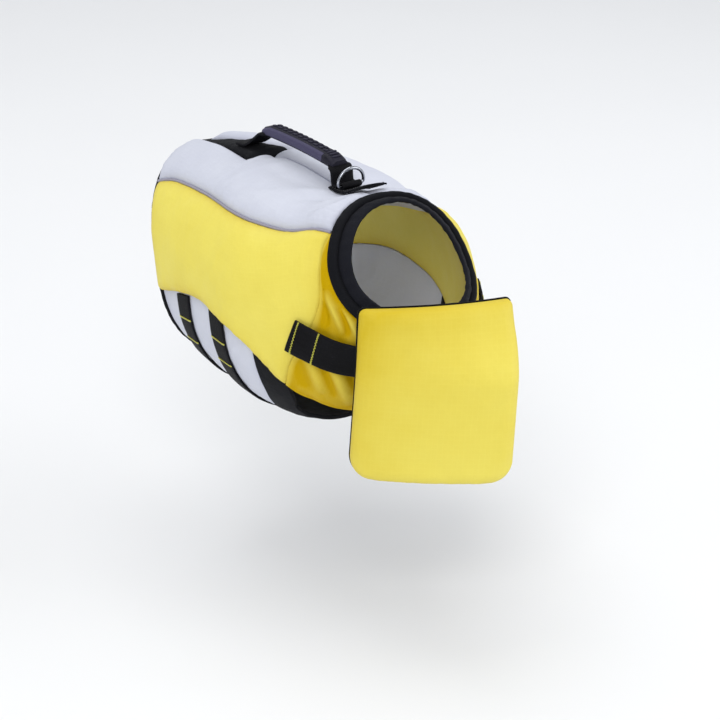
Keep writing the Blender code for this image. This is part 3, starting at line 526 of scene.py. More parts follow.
def side_name(base, left):
    """The name of one of a pair."""
    return base + ("_left" if left else "_right")


def straight(first, last):
    """An edge straight in s and v between two corners."""
    return (tuple(first), tuple(last))


def part_of(table, start, stop, rows=7):
    """The stretch of a seam table between two of its places t."""
    return tuple(tuple(row) for row in smooth_rows(table, np.linspace(start, stop, rows)))


def place_of(table, s):
    """The place t along a seam table where it passes a given s."""
    t = np.linspace(0, 1, 401)
    return float(np.interp(s, smooth_rows(table, t)[:, 0], t))


def edge_spaced(count, pull=0.45):
    """Places from 0 to 1, closer together at both ends."""
    t = np.linspace(0, 1, count + 1)
    return t - pull * np.sin(2 * math.pi * t) / (2 * math.pi)


def patch(top, bottom, rear, front, a, b):
    """Places s, v of a four-sided patch, blended from its four edge tables (Coons)."""
    a = np.asarray(a, float)[..., None]
    b = np.asarray(b, float)[..., None]
    upper = smooth_rows(top, a[..., 0])
    lower = smooth_rows(bottom, a[..., 0])
    back = smooth_rows(rear, b[..., 0])
    ahead = smooth_rows(front, b[..., 0])
    corner = [np.asarray(row, float) for row in (top[0], top[-1], bottom[0], bottom[-1])]
    ruled = (1 - b) * upper + b * lower + (1 - a) * back + a * ahead
    flat = (1 - a) * ((1 - b) * corner[0] + b * corner[2]) + a * ((1 - b) * corner[1] + b * corner[3])
    both = ruled - flat
    return both[..., 0], both[..., 1]


def patch_grid(edges, counts, gaps):
    """A patch's grid: places s, v drawn in from the edges by the gaps, the share from rear to front, and
    the distances to the top, bottom, rear and front edges.
    """
    a, b = np.meshgrid(edge_spaced(counts[0]), edge_spaced(counts[1]), indexing="ij")
    s, v = patch(*edges, a, b)
    places = point(s, v)
    along = np.linalg.norm(np.diff(places, axis=0), axis=-1).sum(0)
    across = np.linalg.norm(np.diff(places, axis=1), axis=-1).sum(1)
    gap_top, gap_bottom, gap_rear, gap_front = gaps
    inset_a = gap_rear / along[None, :] + a * (1 - (gap_rear + gap_front) / along[None, :])
    inset_b = gap_top / across[:, None] + b * (1 - (gap_top + gap_bottom) / across[:, None])
    s, v = patch(*edges, inset_a, inset_b)
    return s, v, a, (b * across[:, None], (1 - b) * across[:, None],
                     a * along[None, :], (1 - a) * along[None, :])


def round_over(distances, rounds):
    """From 0 at the patch's edges to 1 past each edge's rounding, as quarter circles."""
    total = 1.0
    for distance, radius in zip(distances, rounds):
        if radius:
            depth = 1 - np.clip(distance / radius, 0, 1)
            total = total * np.sqrt(1 - depth ** 2)
    return total


def uneven(t, seed):
    """An uneven wave between about -1 and 1: four sines whose lengths don't fit each other."""
    t = np.asarray(t, float)
    total = 0.0
    for index, rate in enumerate((1.0, 1.618, 2.414, 3.303)):
        total = total + np.sin(2 * math.pi * (rate * t + seed * 0.37 * (index + 1))) / (1 + 0.5 * index)
    return total / 2.3


def creases(x, y, table):
    """Soft ridges and troughs: each is a bell curve of the distance to a bowed line, faded at its ends."""
    total = np.zeros(np.shape(x))
    for x0, y0, x1, y1, width, height in table:
        length = math.hypot(x1 - x0, y1 - y0)
        t = ((x - x0) * (x1 - x0) + (y - y0) * (y1 - y0)) / length ** 2
        off = ((x - x0) * (y1 - y0) - (y - y0) * (x1 - x0)) / length
        arch = np.sin(math.pi * np.clip(t, 0, 1))
        total += height * np.exp(-((off - CREASE_BOW * length * arch) / width) ** 2) * arch ** 0.7
    return total


def panel_creases(s, v, table, left):
    """The creases of a panel's table, measured on the surface; the left side's lie a little further back."""
    folded = np.where(v > 180, 360 - v, v)
    rows = np.array(table, float)
    rows[:, 0:3:2] = METRES_PER_S * (rows[:, 0:3:2] - (LEFT_SHIFT if left else 0.0))
    rows[:, 1:4:2] *= METRES_PER_DEGREE
    return creases(METRES_PER_S * s, METRES_PER_DEGREE * folded, rows)


def puckers(distance, run, reach, height, seed, pitch=0.017):
    """Gathers along a seam: an uneven wave along it that dies away with the distance from it."""
    return height * np.exp(-(distance / reach)) * uneven(run / pitch, seed)


def cloth_uv(distances):
    """Places on the flat cloth in millimetres, from the distances to the top and rear edges."""
    return np.stack([distances[2], distances[0]], -1) * 1000


def seam_share(*distances, reach=SEAM_SHADE_REACH):
    """1 at the nearest edge, falling towards 0 inside: the share of painted shade beside a seam."""
    nearest = np.minimum.reduce(np.broadcast_arrays(*distances))
    return np.exp(-nearest / reach)


# Meshes


def loft_quads(rows, size, closed=False):
    """Quads between closed rings of equal count; an open run is capped by strips across its end rings."""
    i = np.arange(rows if closed else rows - 1)[:, None]
    j = np.arange(size)[None, :]
    k = (j + 1) % size
    ahead = (i + 1) % rows
    sides = np.stack([i * size + j, i * size + k, ahead * size + k, ahead * size + j], -1).reshape(-1, 4)
    if closed:
        return sides
    j = np.arange(size // 2 - 1)
    cap = np.stack([j, j + 1, size - 2 - j, size - 1 - j], -1)
    return np.concatenate([sides, cap[:, ::-1], cap + (rows - 1) * size])


def add_piece(name, points, quads, finish, uv=None, seam=None, body="root", nodes=()):
    """A mesh piece of the jacket with its cloth places, its seam share (the share of painted shade, and on
    webbing of wear, that deepens its colour), kind of finish, body and CAD nodes.
    """
    points = np.asarray(points, float).reshape(-1, 3)
    name = name + "_cloth" if name in nodes else name
    mesh = bpy.data.meshes.new(name)
    mesh.from_pydata(points.tolist(), [], quads.tolist())
    uv = np.zeros((len(points), 2)) if uv is None else np.asarray(uv, float).reshape(-1, 2)
    layer = mesh.uv_layers.new(name="cloth_mm")
    corners = np.empty(len(mesh.loops), int)
    mesh.loops.foreach_get("vertex_index", corners)
    layer.uv.foreach_set("vector", uv[corners].ravel())
    shares = np.zeros(len(points)) if seam is None else np.asarray(seam, float).ravel()
    # the seam attribute holds a share of the deeper colour: painted shade on cloth, wear on webbing
    mesh.attributes.new("seam", "FLOAT", "POINT").data.foreach_set("value", shares)
    work = bmesh.new()
    work.from_mesh(mesh)
    bmesh.ops.recalc_face_normals(work, faces=work.faces)
    if work.calc_volume(signed=True) < 0:
        bmesh.ops.reverse_faces(work, faces=work.faces)
    work.to_mesh(mesh)
    work.free()
    mesh.shade_smooth()
    mesh.materials.append(finish_of(finish))
    obj = bpy.data.objects.new(name, mesh)
    bpy.context.scene.collection.objects.link(obj)
    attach(obj, body)
    if nodes:
        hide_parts(*nodes)
    return obj


def soften(obj, width):
    """Rounds the sharp edges of a piece."""
    bevel = obj.modifiers.new("soft_edge", "BEVEL")
    bevel.width = width
    bevel.segments = 2
    bevel.limit_method = "ANGLE"
    bevel.angle_limit = math.radians(50)
    bevel.harden_normals = True


def shell(name, outer, inner, finish, uv, seam, edge=SOFT_EDGE):
    """A closed wall between an outer and an inner grid of points, in place of the node of its name."""
    ring, uv, seam = (np.concatenate([there, back[:, ::-1]], axis=1)
                      for there, back in ((outer, inner), (uv, uv), (seam, seam)))
    obj = add_piece(name, ring, loft_quads(*ring.shape[:2]), finish, uv, seam, nodes=(name,))
    soften(obj, edge)
    return obj


def grid_cut(points):
    """Width across, length along and area of a grid of points, as the flat cut that makes it."""
    along = np.linalg.norm(np.diff(points, axis=0), axis=-1).sum(0)
    across = np.linalg.norm(np.diff(points, axis=1), axis=-1).sum(1)
    first = points[1:, 1:] - points[:-1, :-1]
    second = points[1:, :-1] - points[:-1, 1:]
    area = float(np.linalg.norm(np.cross(first, second), axis=-1).sum() / 2)
    width = float(across.max())
    length = float(along.max())
    return width, length, min(area, width * length)


def as_sheet(obj, points):
    """Declares a cloth piece by its cut, measured on its outer face."""
    width, length, area = grid_cut(points)
    CUTS[obj.name] = (round(width, 4), round(length, 4), round(area, 5))


def tube(path, up, radius, sides=10, closed=False):
    """Rings round a path: at each point a circle in the plane of its up direction and its side."""
    forward = np.gradient(path, axis=0)
    if closed:
        forward = np.roll(path, -1, axis=0) - np.roll(path, 1, axis=0)
    forward = unit(forward)
    side = unit(np.cross(forward, up))
    top = np.cross(side, forward)
    angle = round_angles(sides)
    radius = np.broadcast_to(radius, path.shape[:1])[:, None, None]
    return (path[:, None] + side[:, None] * np.cos(angle)[None, :, None] * radius
            + top[:, None] * np.sin(angle)[None, :, None] * radius)


def tube_uv(rings):
    """Length along and round a tube in millimetres."""
    around = np.linspace(0, 1, rings.shape[1]) * np.linalg.norm(rings[0, 0] - rings[0].mean(0)) * 2 * math.pi
    return mesh_places(run_along(rings.mean(1)), around)


def join_batches(batches, rows, size):
    """Points and quads of many equal small lofts as one mesh."""
    points = np.concatenate([batch.reshape(-1, rows * size, 3) for batch in batches])
    one = loft_quads(rows, size)
    offsets = (np.arange(len(points)) * rows * size)[:, None, None]
    return points.reshape(-1, 3), (one[None] + offsets).reshape(-1, 4)


def stitch_row(path, up, pitch, length, radius):
    """Stitches along a path: each is a short thread that rises out of the cloth and dips in again."""
    run = run_along(path)
    at = np.arange(pitch / 2, run[-1], pitch)
    centre, forward, top = (np.stack([np.interp(at, run, table[:, k]) for k in range(3)], -1)
                            for table in (path, unit(np.gradient(path, axis=0)), up))
    forward = unit(forward)
    top = unit(top)
    side = np.cross(forward, top)
    t = np.linspace(-1, 1, 5)[None, :, None]
    angle = round_angles(6)[None, None, :]
    thick = radius * np.sqrt(1.04 - t ** 2)
    lift = radius * (0.75 - 1.25 * t ** 2)
    return (centre[:, None, None] + forward[:, None, None] * (t * length / 2 + 0 * angle)[..., None]
            + top[:, None, None] * (lift + thick * np.sin(angle))[..., None]
            + side[:, None, None] * (thick * np.cos(angle))[..., None])


# Finishes


def add_node(material, kind, inputs=None, **settings):
    """Adds a node with its settings; each input gets a link from another node's output, or a value."""
    tree = material.node_tree
    node = tree.nodes.new("ShaderNode" + kind)
    for key, value in settings.items():
        setattr(node, key, value)
    for socket, value in (inputs or {}).items():
        if isinstance(value, bpy.types.NodeSocket):
            tree.links.new(value, node.inputs[socket])
        else:
            node.inputs[socket].default_value = value
    return node


def new_finish(name, roughness, metallic=0.0, sheen=0.0, specular=0.5):
    """A material with a Principled shader, whose even values are set on its own sockets."""
    material = bpy.data.materials.new(name)
    material.use_nodes = True
    shader = material.node_tree.nodes["Principled BSDF"]
    shader.inputs["Roughness"].default_value = roughness
    shader.inputs["Metallic"].default_value = metallic
    shader.inputs["Sheen Weight"].default_value = sheen
    shader.inputs["Sheen Roughness"].default_value = 0.5
    shader.inputs["Specular IOR Level"].default_value = specular
    return material, shader


def calculate(material, operation, *values, clamp=False):
    """The result of one sum on values or outputs of nodes."""
    result = add_node(material, "Math", dict(enumerate(values)), operation=operation, use_clamp=clamp)
    return result.outputs[0]


def ramp(material, value, low, high, start=0.0, stop=1.0):
    """A value's place between low and high, carried over to start and stop."""
    return add_node(material, "MapRange", {0: value, 1: low, 2: high, 3: start, 4: stop}).outputs[0]


def noise(material, scale, detail, roughness=0.5):
    """Even noise in the piece's own space."""
    body = add_node(material, "TexCoord")
    return add_node(material, "TexNoise", {"Vector": body.outputs["Object"], "Scale": scale, "Detail": detail,
                                           "Roughness": roughness}).outputs["Fac"]


def shade_and_wear_of(material):
    """The share that each point of a piece keeps in its seam attribute: painted shade beside seams, in the
    chest's folds, across the float and under the neck rim, wear along webbing edges, and the grip's paler
    flank colour.
    """
    return add_node(material, "Attribute", attribute_name="seam").outputs["Fac"]


def colour_between(material, shader, share, first, second):
    """Sets the shader's colour between two colours by a share."""
    tint = add_node(material, "Mix", {0: share, 6: (*first, 1), 7: (*second, 1)}, data_type="RGBA")
    material.node_tree.links.new(tint.outputs[2], shader.inputs["Base Color"])


def relief_of(material, shader, height, strength, distance, **below):
    """Gives the shader a bump from a height, on top of another bump when below names its Normal."""
    bump = add_node(material, "Bump", {"Height": height, "Strength": strength, "Distance": distance, **below})
    material.node_tree.links.new(bump.outputs[0], shader.inputs["Normal"])


def cloth_axes(material):
    """The two distances on the flat cloth in mm: along and across."""
    places = add_node(material, "UVMap", uv_map="cloth_mm")
    return add_node(material, "SeparateXYZ", {0: places.outputs[0]}).outputs


def woven(name, colour, deep, roughness, thread, rib, relief, sheen, shade_depth, specular=0.3):
    """Woven cloth: threads cross at a real spacing in mm, stronger threads stand at the rib spacing.

    The weave's height is the product of two sine waves over the flat cloth, and the ribs are narrow lines.
    """
    material, shader = new_finish(name, roughness, sheen=sheen, specular=specular)
    axes = cloth_axes(material)
    waves = [calculate(material, "SINE", calculate(material, "MULTIPLY", axes[k], 2 * math.pi / thread))
             for k in (0, 1)]
    lines = [ramp(material, calculate(material, "PINGPONG", axes[k], rib), rib * 0.72, rib) for k in (0, 1)]
    weave = calculate(material, "MULTIPLY", *waves)
    fabric = calculate(material, "MULTIPLY_ADD", weave, 0.45, calculate(material, "MAXIMUM", *lines))
    patchy = noise(material, 26.0, 3.0, 0.55)
    # painted shade: the colour deepens by each point's seam share, beside seams, in the chest's folds, across
    # the float and under the neck rim
    shade = calculate(material, "MULTIPLY", shade_and_wear_of(material), shade_depth)
    cloud = calculate(material, "MULTIPLY_ADD", patchy, 0.34, shade)
    # painted shade of the weave: the colour is a little deeper between threads and lighter on raised threads
    # and ribs
    share = calculate(material, "MULTIPLY_ADD", fabric, -0.04, cloud, clamp=True)
    colour_between(material, shader, share, colour, deep)
    dull = ramp(material, patchy, 0.3, 0.7, roughness - 0.06, roughness + 0.06)
    material.node_tree.links.new(dull, shader.inputs["Roughness"])
    wrinkle = add_node(material, "Bump", {"Height": noise(material, 85.0, 2.5), "Strength": 0.5,
                                          "Distance": 0.002})
    relief_of(material, shader, fabric, 0.6, relief, Normal=wrinkle.outputs[0])
    material.diffuse_color = (*colour, 1)
    return material


def webbing_finish(name, colour, deep, pitch):
    """Flat woven polypropylene webbing: ribs run across the strap and lean to a point along its length."""
    material, shader = new_finish(name, 0.62, specular=0.10)
    axes = cloth_axes(material)
    lean = calculate(material, "PINGPONG", axes[1], 2.2)
    slant = calculate(material, "MULTIPLY_ADD", lean, 0.8, axes[0])
    wave = calculate(material, "SINE", calculate(material, "MULTIPLY", slant, 2 * math.pi / pitch))
    height = calculate(material, "ADD", wave, ramp(material, lean, 0.0, 0.45, -0.8, 0.0))
    worn = calculate(material, "MULTIPLY_ADD", shade_and_wear_of(material), 0.35, noise(material, 60.0, 4.0))
    colour_between(material, shader, ramp(material, worn, 0.35, 1.0), colour, deep)
    relief_of(material, shader, height, 0.6, 0.00012)
    material.diffuse_color = (*colour, 1)
    return material


def thread_finish(name, colour):
    """Polyester sewing thread: two plies twist round each other, which gives slanting glints; the colour is
    painted darker between the plies, as shade, in slanting bands.
    """
    material, shader = new_finish(name, 0.42, sheen=0.3)
    body = add_node(material, "TexCoord")
    plies = add_node(material, "TexWave", {"Vector": body.outputs["Object"], "Scale": 900.0,
                                           "Distortion": 2.0}, bands_direction="DIAGONAL").outputs["Fac"]
    # painted shade: the colour is darker between the plies
    colour_between(material, shader, plies, colour, [c * 0.62 for c in colour])
    relief_of(material, shader, plies, 0.4, 0.0001)
    return material


def rubber_finish(name, colour, flank):
    """Moulded thermoplastic rubber: fine spark-eroded grain, paler on each flank, partly as the rubber's
    second tone and partly as painted sheen of the side faces.
    """
    material, shader = new_finish(name, 0.52, specular=0.16)
    worn = noise(material, 140.0, 3.0)
    share = calculate(material, "MULTIPLY_ADD", worn, 0.25, shade_and_wear_of(material), clamp=True)
    colour_between(material, shader, share, colour, flank)
    material.node_tree.links.new(ramp(material, worn, 0.3, 0.7, 0.44, 0.6), shader.inputs["Roughness"])
    relief_of(material, shader, noise(material, 2200.0, 2.0), 0.5, 0.00008)
    return material


def steel_finish(name, colour):
    """Nickel-plated steel wire, drawn and polished: bright, with faint smears that dull the reflection."""
    material, shader = new_finish(name, 0.22, metallic=1.0)
    smear = noise(material, 420.0, 4.0)
    material.node_tree.links.new(ramp(material, smear, 0.3, 0.75, 0.14, 0.36), shader.inputs["Roughness"])
    colour_between(material, shader, smear, colour, [c * 0.8 for c in colour])
    return material


def cloth_kinds(c):
    """The woven finishes: colour, deeper colour (random uneven tone, and painted shade beside seams and in
    folds), roughness, thread and rib spacing, relief, sheen and share of the seams' painted shade.
    """
    return {
        # coated nylon oxford: close plain weave with a faint square rib and a dry, slightly waxy face
        "pale_nylon_oxford": (c.pale, c.pale_deep, 0.58, 0.9, 2.0, 0.00005, 0.06, 0.30),
        "yellow_nylon_oxford": (c.yellow, c.yellow_deep, 0.56, 0.9, 2.0, 0.00005, 0.03, 0.80, 0.22),
        # the same cloth with no foam behind it: it hangs in folds, and its deeper colour is painted shade
        # under the chin and in the folds
        "loose_nylon_oxford": (c.yellow, c.chest_deep, 0.55, 0.9, 2.0, 0.00006, 0.0, 0.95, 0.05),
        # black polyester oxford: the same weave, matt
        "black_polyester_oxford": (c.black, c.black_deep, 0.72, 0.8, 2.4, 0.00010, 0.01, 0.0, 0.10),
        # knitted collar band: soft, with a grey bloom of fibres, and painted shade where it runs under the
        # rim
        "collar_knit": (c.collar, c.black, 0.80, 1.1, 1.6, 0.00018, 0.03, 0.4, 0.10),
        # reflective tape wrapped round a cord: smooth grey with a silky shine
        "reflective_piping": (c.piping, c.piping_deep, 0.38, 0.6, 1.4, 0.00006, 0.05, 0.0),
    }


def finish_of(kind):
    """The finish of one kind, made at its first use from the colours in the sidebar."""
    if kind in FINISHES:
        return FINISHES[kind]
    c = bpy.context.scene.jacket_colours
    cloths = cloth_kinds(c)
    others = {
        "polypropylene_webbing": (webbing_finish, c.webbing, c.webbing_worn, 1.5),
        "lime_thread": (thread_finish, c.lime),
        "black_thread": (thread_finish, c.webbing_worn),
        "moulded_rubber": (rubber_finish, c.rubber, c.rubber_flank),
        "nickel_plated_steel": (steel_finish, c.steel),
    }
    maker, *values = (woven, *cloths[kind]) if kind in cloths else others[kind]
    FINISHES[kind] = maker(kind, *values)
    return FINISHES[kind]


# Panels


def foam_panel(name, edges, counts, gaps, rounds, crowns, detail, finish, seam_height=None,
               front_shade=1.0, front_shade_reach=SEAM_SHADE_REACH, edge=SOFT_EDGE):
    """A padded panel: full in its middle, thin at its seams, with the creases and gathers of detail.

    The seams lie at one height, or at what seam_height gives for the places and edge distances.
    """
    s, v, a, distances = patch_grid(edges, counts, gaps)
    full = round_over(distances, rounds)
    crown = crowns[0] + (crowns[1] - crowns[0]) * a
    low = seam_height(s, distances) if seam_height else FOAM_SEAM
    outer = low + (crown - low) * full + detail(s, v, distances) * full ** 0.5
    inner = FOAM_INNER_SEAM + (FOAM_INNER - FOAM_INNER_SEAM) * full
    # painted shade: the colour deepens beside the seams, and on the flank's front edge towards the loose
    # chest cloth
    share = np.maximum(seam_share(*distances[:3]), front_shade * seam_share(distances[3], reach=front_shade_reach))
    obj = shell(name, raised(s, v, outer), raised(s, v, inner), finish, cloth_uv(distances), share,
                edge)


def back_panel(left, sizes):
    """Pale foam panel from the spine to the shoulder seam."""
    edges = (SPINE_EDGE, SHOULDER_SEAM, straight(SPINE_EDGE[0], SHOULDER_SEAM[0]),
             straight(SPINE_EDGE[-1], SHOULDER_SEAM[-1]))

    def detail(s, v, distances):
        top, low, rear, front = distances
        return (panel_creases(s, v, BACK_CREASES, left) * sizes.crease_share
                + puckers(low, rear, 0.007, sizes.pucker_height, 1.3 + left)
                + puckers(front, top, 0.010, sizes.pucker_height * 1.3, 2.1 + left, 0.014)
                + puckers(rear, top, 0.006, sizes.pucker_height, 3.7 + left)
                + 0.00035 * uneven(rear / 0.06 + top / 0.045, 4.2 + left))

    def seam_height(s, distances):
        # ahead of the patch the two panels meet in a shallow groove along the spine
        ahead = (np.clip((s - GROOVE_START) / GROOVE_FORMS, 0, 1)
                 * np.clip(distances[3] / GROOVE_NECK, 0, 1))
        ease = np.exp(-(distances[0] / GROOVE_WIDTH) ** 2) * smooth_step(ahead)
        return FOAM_SEAM + (sizes.back_crown - SPINE_GROOVE - FOAM_SEAM) * ease

    foam_panel(side_name("back_panel", left), sided(edges, left), GRIDS["back"],
               (EDGE_GAP / 2, PIPING_GAP, EDGE_GAP, EDGE_GAP),
               (SPINE_ROUND, FOAM_ROUND, HEM_ROUND, FOAM_ROUND), (sizes.back_crown, sizes.back_crown), detail,
               "pale_nylon_oxford", seam_height)


def side_panel(left, sizes):
    """Yellow foam panel from the shoulder seam down the flank and on to the chest."""
    edges = (SHOULDER_SEAM, FLANK_EDGE, straight(SHOULDER_SEAM[0], FLANK_EDGE[0]), FLANK_FRONT)

    def detail(s, v, distances):
        top, low, rear, _ = distances
        return (panel_creases(s, v, SIDE_CREASES, left) * sizes.crease_share
                + puckers(top, rear, 0.007, sizes.pucker_height, 5.1 + left)
                + puckers(low, rear, 0.005, sizes.pucker_height * 0.8, 6.4 + left)
                + 0.00030 * uneven(rear / 0.07 + top / 0.052, 8.8 + left))

    def seam_height(s, distances):
        # the foam thins out towards the chest and ends level with its cloth
        corner = np.clip(np.minimum(distances[0], distances[1]) / THIN_CORNER, 0, 1)
        ease = np.exp(-distances[3] / THIN_REACH) * corner
        return FOAM_SEAM + (CHEST_TOP - FOAM_SEAM) * ease

    # the flank's front edge is painted deeper, as shade, towards the chest
    foam_panel(side_name("side_panel", left), sided(edges, left), GRIDS["side"],
               (PIPING_GAP, SEAM_GAP, EDGE_GAP, EDGE_GAP / 5),
               (FOAM_ROUND, FLANK_LOW_ROUND, HEM_ROUND, FLANK_FRONT_ROUND),
               (sizes.side_crown, sizes.side_crown), detail, "yellow_nylon_oxford",
               seam_height, FRONT_SHADE, FRONT_SHADE_REACH, FINE_EDGE)


def back_patch(sizes):
    """Black padded wedge on the spine behind the handle, between the two pale panels."""
    near = part_of(SPINE_EDGE, 0, 3 / (len(SPINE_EDGE) - 1), 13)
    turned = tuple((s, -v) for s, v in near)

    def detail(s, v, distances):
        top, low, rear, _ = distances
        return (puckers(top, rear, 0.004, 0.0004, 1.7) + puckers(low, rear, 0.004, 0.0004, 2.9)
                + 0.0004 * uneven(rear / 0.03, 0.4))

    foam_panel("back_patch", (near, turned, straight(near[0], turned[0]), PATCH_FRONT), GRIDS["patch"],
               (2 * EDGE_GAP, 2 * EDGE_GAP, EDGE_GAP, SEAM_GAP),
               (PATCH_ROUND, PATCH_ROUND, HEM_ROUND, PATCH_ROUND),
               (PATCH_CROWN_REAR, PATCH_CROWN), detail, "black_polyester_oxford")


def chest_panel(left, sizes):
    """Soft yellow panel from the flank foam to the middle of the chest, with upright folds."""
    neck = straight(FLANK_FRONT[0], (1, 180))
    middle = straight((1, 180), CHEST_EDGE[-1])
    edges = sided((neck, CHEST_EDGE, FLANK_FRONT, middle), left)
    # its rear edge runs a little way under the flank's
    s, v, _, distances = patch_grid(edges, GRIDS["chest"], (EDGE_GAP, 0, -CHEST_TUCK, 0))
    top, low, rear, _ = distances
    height = panel_creases(s, v, CHEST_FOLDS, left) * sizes.fold_share
    height += 0.0004 * uneven(s * 7 + v * 0.021, 5.5 + left)
    height *= round_over(distances, CHEST_ROUNDS)
    wave = 0.0004 * uneven(rear / 0.055, 9.1 + left) * np.exp(-low / 0.012)
    outer = CHEST_TOP + height + wave - np.where(rear < 2 * CHEST_TUCK, 0.00008, 0.0)
    # painted shade under the chin: the colour deepens from the flank towards the middle of the chest, more in
    # fold troughs and beside the top and bottom edges, and ridges are painted lighter
    ease = np.clip((rear - SHADE_START) / SHADE_REACH, 0, 1)
    tint = FRONT_SHADE + (CHEST_SHADE - FRONT_SHADE) * smooth_step(ease)
    tint = np.clip(tint - FOLD_SHADE * height * ease + 0.25 * seam_share(top, low, reach=0.003), 0, 1)
    obj = shell(side_name("chest_panel", left), raised(s, v, outer), raised(s, v, outer - CHEST_WALL),
                "loose_nylon_oxford", cloth_uv(distances), tint, FINE_EDGE)
    as_sheet(obj, raised(s, v, outer))


def flat_panel(name, edges, counts, gaps, finish, seed):
    """A thin panel that is drawn a little in and out between its seams."""
    s, v, _, distances = patch_grid(edges, counts, gaps)
    top, low, rear, _ = distances
    ripple = (0.0003 * uneven(rear / 0.04 + top / 0.06, seed)
              + puckers(top, rear, 0.005, 0.0005, seed + 1) + puckers(low, rear, 0.005, 0.0004, seed + 2))
    outer = BELLY_TOP + ripple - 0.0001
    # painted shade: the colour deepens beside the seams
    obj = shell(name, raised(s, v, outer), raised(s, v, outer - BELLY_WALL), finish, cloth_uv(distances),
                seam_share(*distances))
    as_sheet(obj, raised(s, v, outer))


def belly_panels(left):
    """Pale panel below the flank's edge and the black gusset ahead of it, up to the leg opening."""
    stop = place_of(FLANK_EDGE, BELLY_FRONT[0][0])
    top = part_of(FLANK_EDGE, 0, stop)
    front = (top[-1],) + BELLY_FRONT[1:]
    bottom = straight((0, BELLY_SIDE), front[-1])
    edges = sided((top, bottom, straight(top[0], bottom[0]), front), left)
    flat_panel(side_name("belly_panel", left), edges, GRIDS["belly"],
               (-2 * EDGE_GAP, EDGE_GAP, EDGE_GAP, EDGE_GAP), "pale_nylon_oxford", 1.1 + left)
    last = place_of(FLANK_EDGE, GUSSET_FRONT[0][0])
    top = part_of(FLANK_EDGE, stop, last, 4)
    rear = (top[0],) + BELLY_FRONT[1:]
    front = (top[-1],) + GUSSET_FRONT[1:]
    edges = sided((top, straight(rear[-1], front[-1]), rear, front), left)
    flat_panel(side_name("belly_gusset", left), edges, GRIDS["gusset"],
               (-2 * EDGE_GAP, EDGE_GAP, EDGE_GAP, 0), "black_polyester_oxford", 2.6 + left)


def belly_centre():
    """Black strip along the belly between the two pale panels."""
    near = straight((0, BELLY_SIDE), BELLY_CENTRE_FRONT[0])
    far = mirrored(near)
    front = BELLY_CENTRE_FRONT + mirrored(BELLY_CENTRE_FRONT)[::-1][1:]
    flat_panel("belly_centre", (near, far, straight(near[0], far[0]), front), GRIDS["centre"],
               (EDGE_GAP, EDGE_GAP, EDGE_GAP, 0), "black_polyester_oxford", 3.3)


def piping(left):
    """Grey cord of the shoulder seam, lying in the channel between its two panels."""
    table = sided((SHOULDER_SEAM,), left)[0]
    t = np.linspace(*PIPING_ENDS, PIPING_ROWS)
    places = smooth_rows(table, t)
    high = PIPING_HEIGHT + 0.00015 * uneven(t * 14, 0.3 + left)
    rings = tube(raised(places[:, 0], places[:, 1], high), normal(places[:, 0], places[:, 1]),
                 PIPING_RADIUS, PIPING_SIDES)
    add_piece(side_name("piping", left), rings, loft_quads(*rings.shape[:2]), "reflective_piping",
              tube_uv(rings), nodes=(side_name("piping", left),))


# Edges


def oval(width, wall, count, power=2.6):
    """A flattened round section: columns along and out, centred on zero."""
    t = round_angles(count) + math.pi / count
    return signed_power(np.cos(t), 2 / power) * width / 2, signed_power(np.sin(t), 2 / power) * wall / 2


def edge_ring(name, s, ahead, start, width, wall, height, slope, finish, gather, seed, padded):
    """A padded ring that carries on from the edge at s, gathered unevenly round the body."""
    v = np.linspace(0, 360, RING_COUNT, endpoint=False)
    s = np.full(RING_COUNT, s)
    base = point(s, v)
    out_way = normal(s, v)
    run = unit(slopes(s, v)[0]) * ahead
    along, out = oval(width, wall, RING_SIDES)
    lengths = np.cumsum(np.linalg.norm(np.roll(base, -1, axis=0) - base, axis=-1))
    turns = round(lengths[-1] / RING_GATHER)
    wave = np.sin(v * math.pi / 180 * turns + 1.5 * np.sin(v * math.pi / 60 + seed)) * 0.5
    wave = wave + 0.5 * np.sin(v * math.pi / 180 * round(turns * 1.7) + 2.2 * np.sin(v * math.pi / 90 + seed))
    swell = 1 + gather * wave
    along = along + start + width / 2
    high = out[None, :] * swell[:, None] + height - slope * (along - start)[None, :]
    rings = base[:, None] + run[:, None] * along[None, :, None] + out_way[:, None] * high[..., None]
    section = np.stack([along, out], 1)
    around = np.cumsum(np.linalg.norm(np.roll(section, -1, axis=0) - section, axis=-1))
    # on the knitted band this share is painted shade: the colour deepens at the edge that runs under the rim
    edge = np.broadcast_to(np.exp(-(along - start) / 0.0015)[None, :], rings.shape[:2])
    obj = add_piece(name, rings, loft_quads(*rings.shape[:2], closed=True), finish,
                    mesh_places(lengths, around), edge, nodes=(name,))
    if padded:
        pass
    else:
        CUTS[obj.name] = (HEM_TAPE, round(lengths[-1], 4), round(HEM_TAPE * lengths[-1], 5))


# Straps


def webbing_piece(name, outer, inner, along, across):
    """A flat strap between two grids of points, worn along both edges."""
    worn = np.broadcast_to(np.abs(2 * STRAP_OFFSETS)[None, :] ** 10, outer.shape[:2])
    obj = shell(name, outer, inner, "polypropylene_webbing", mesh_places(along, across), worn,
                HARD_EDGE)
    as_sheet(obj, outer)


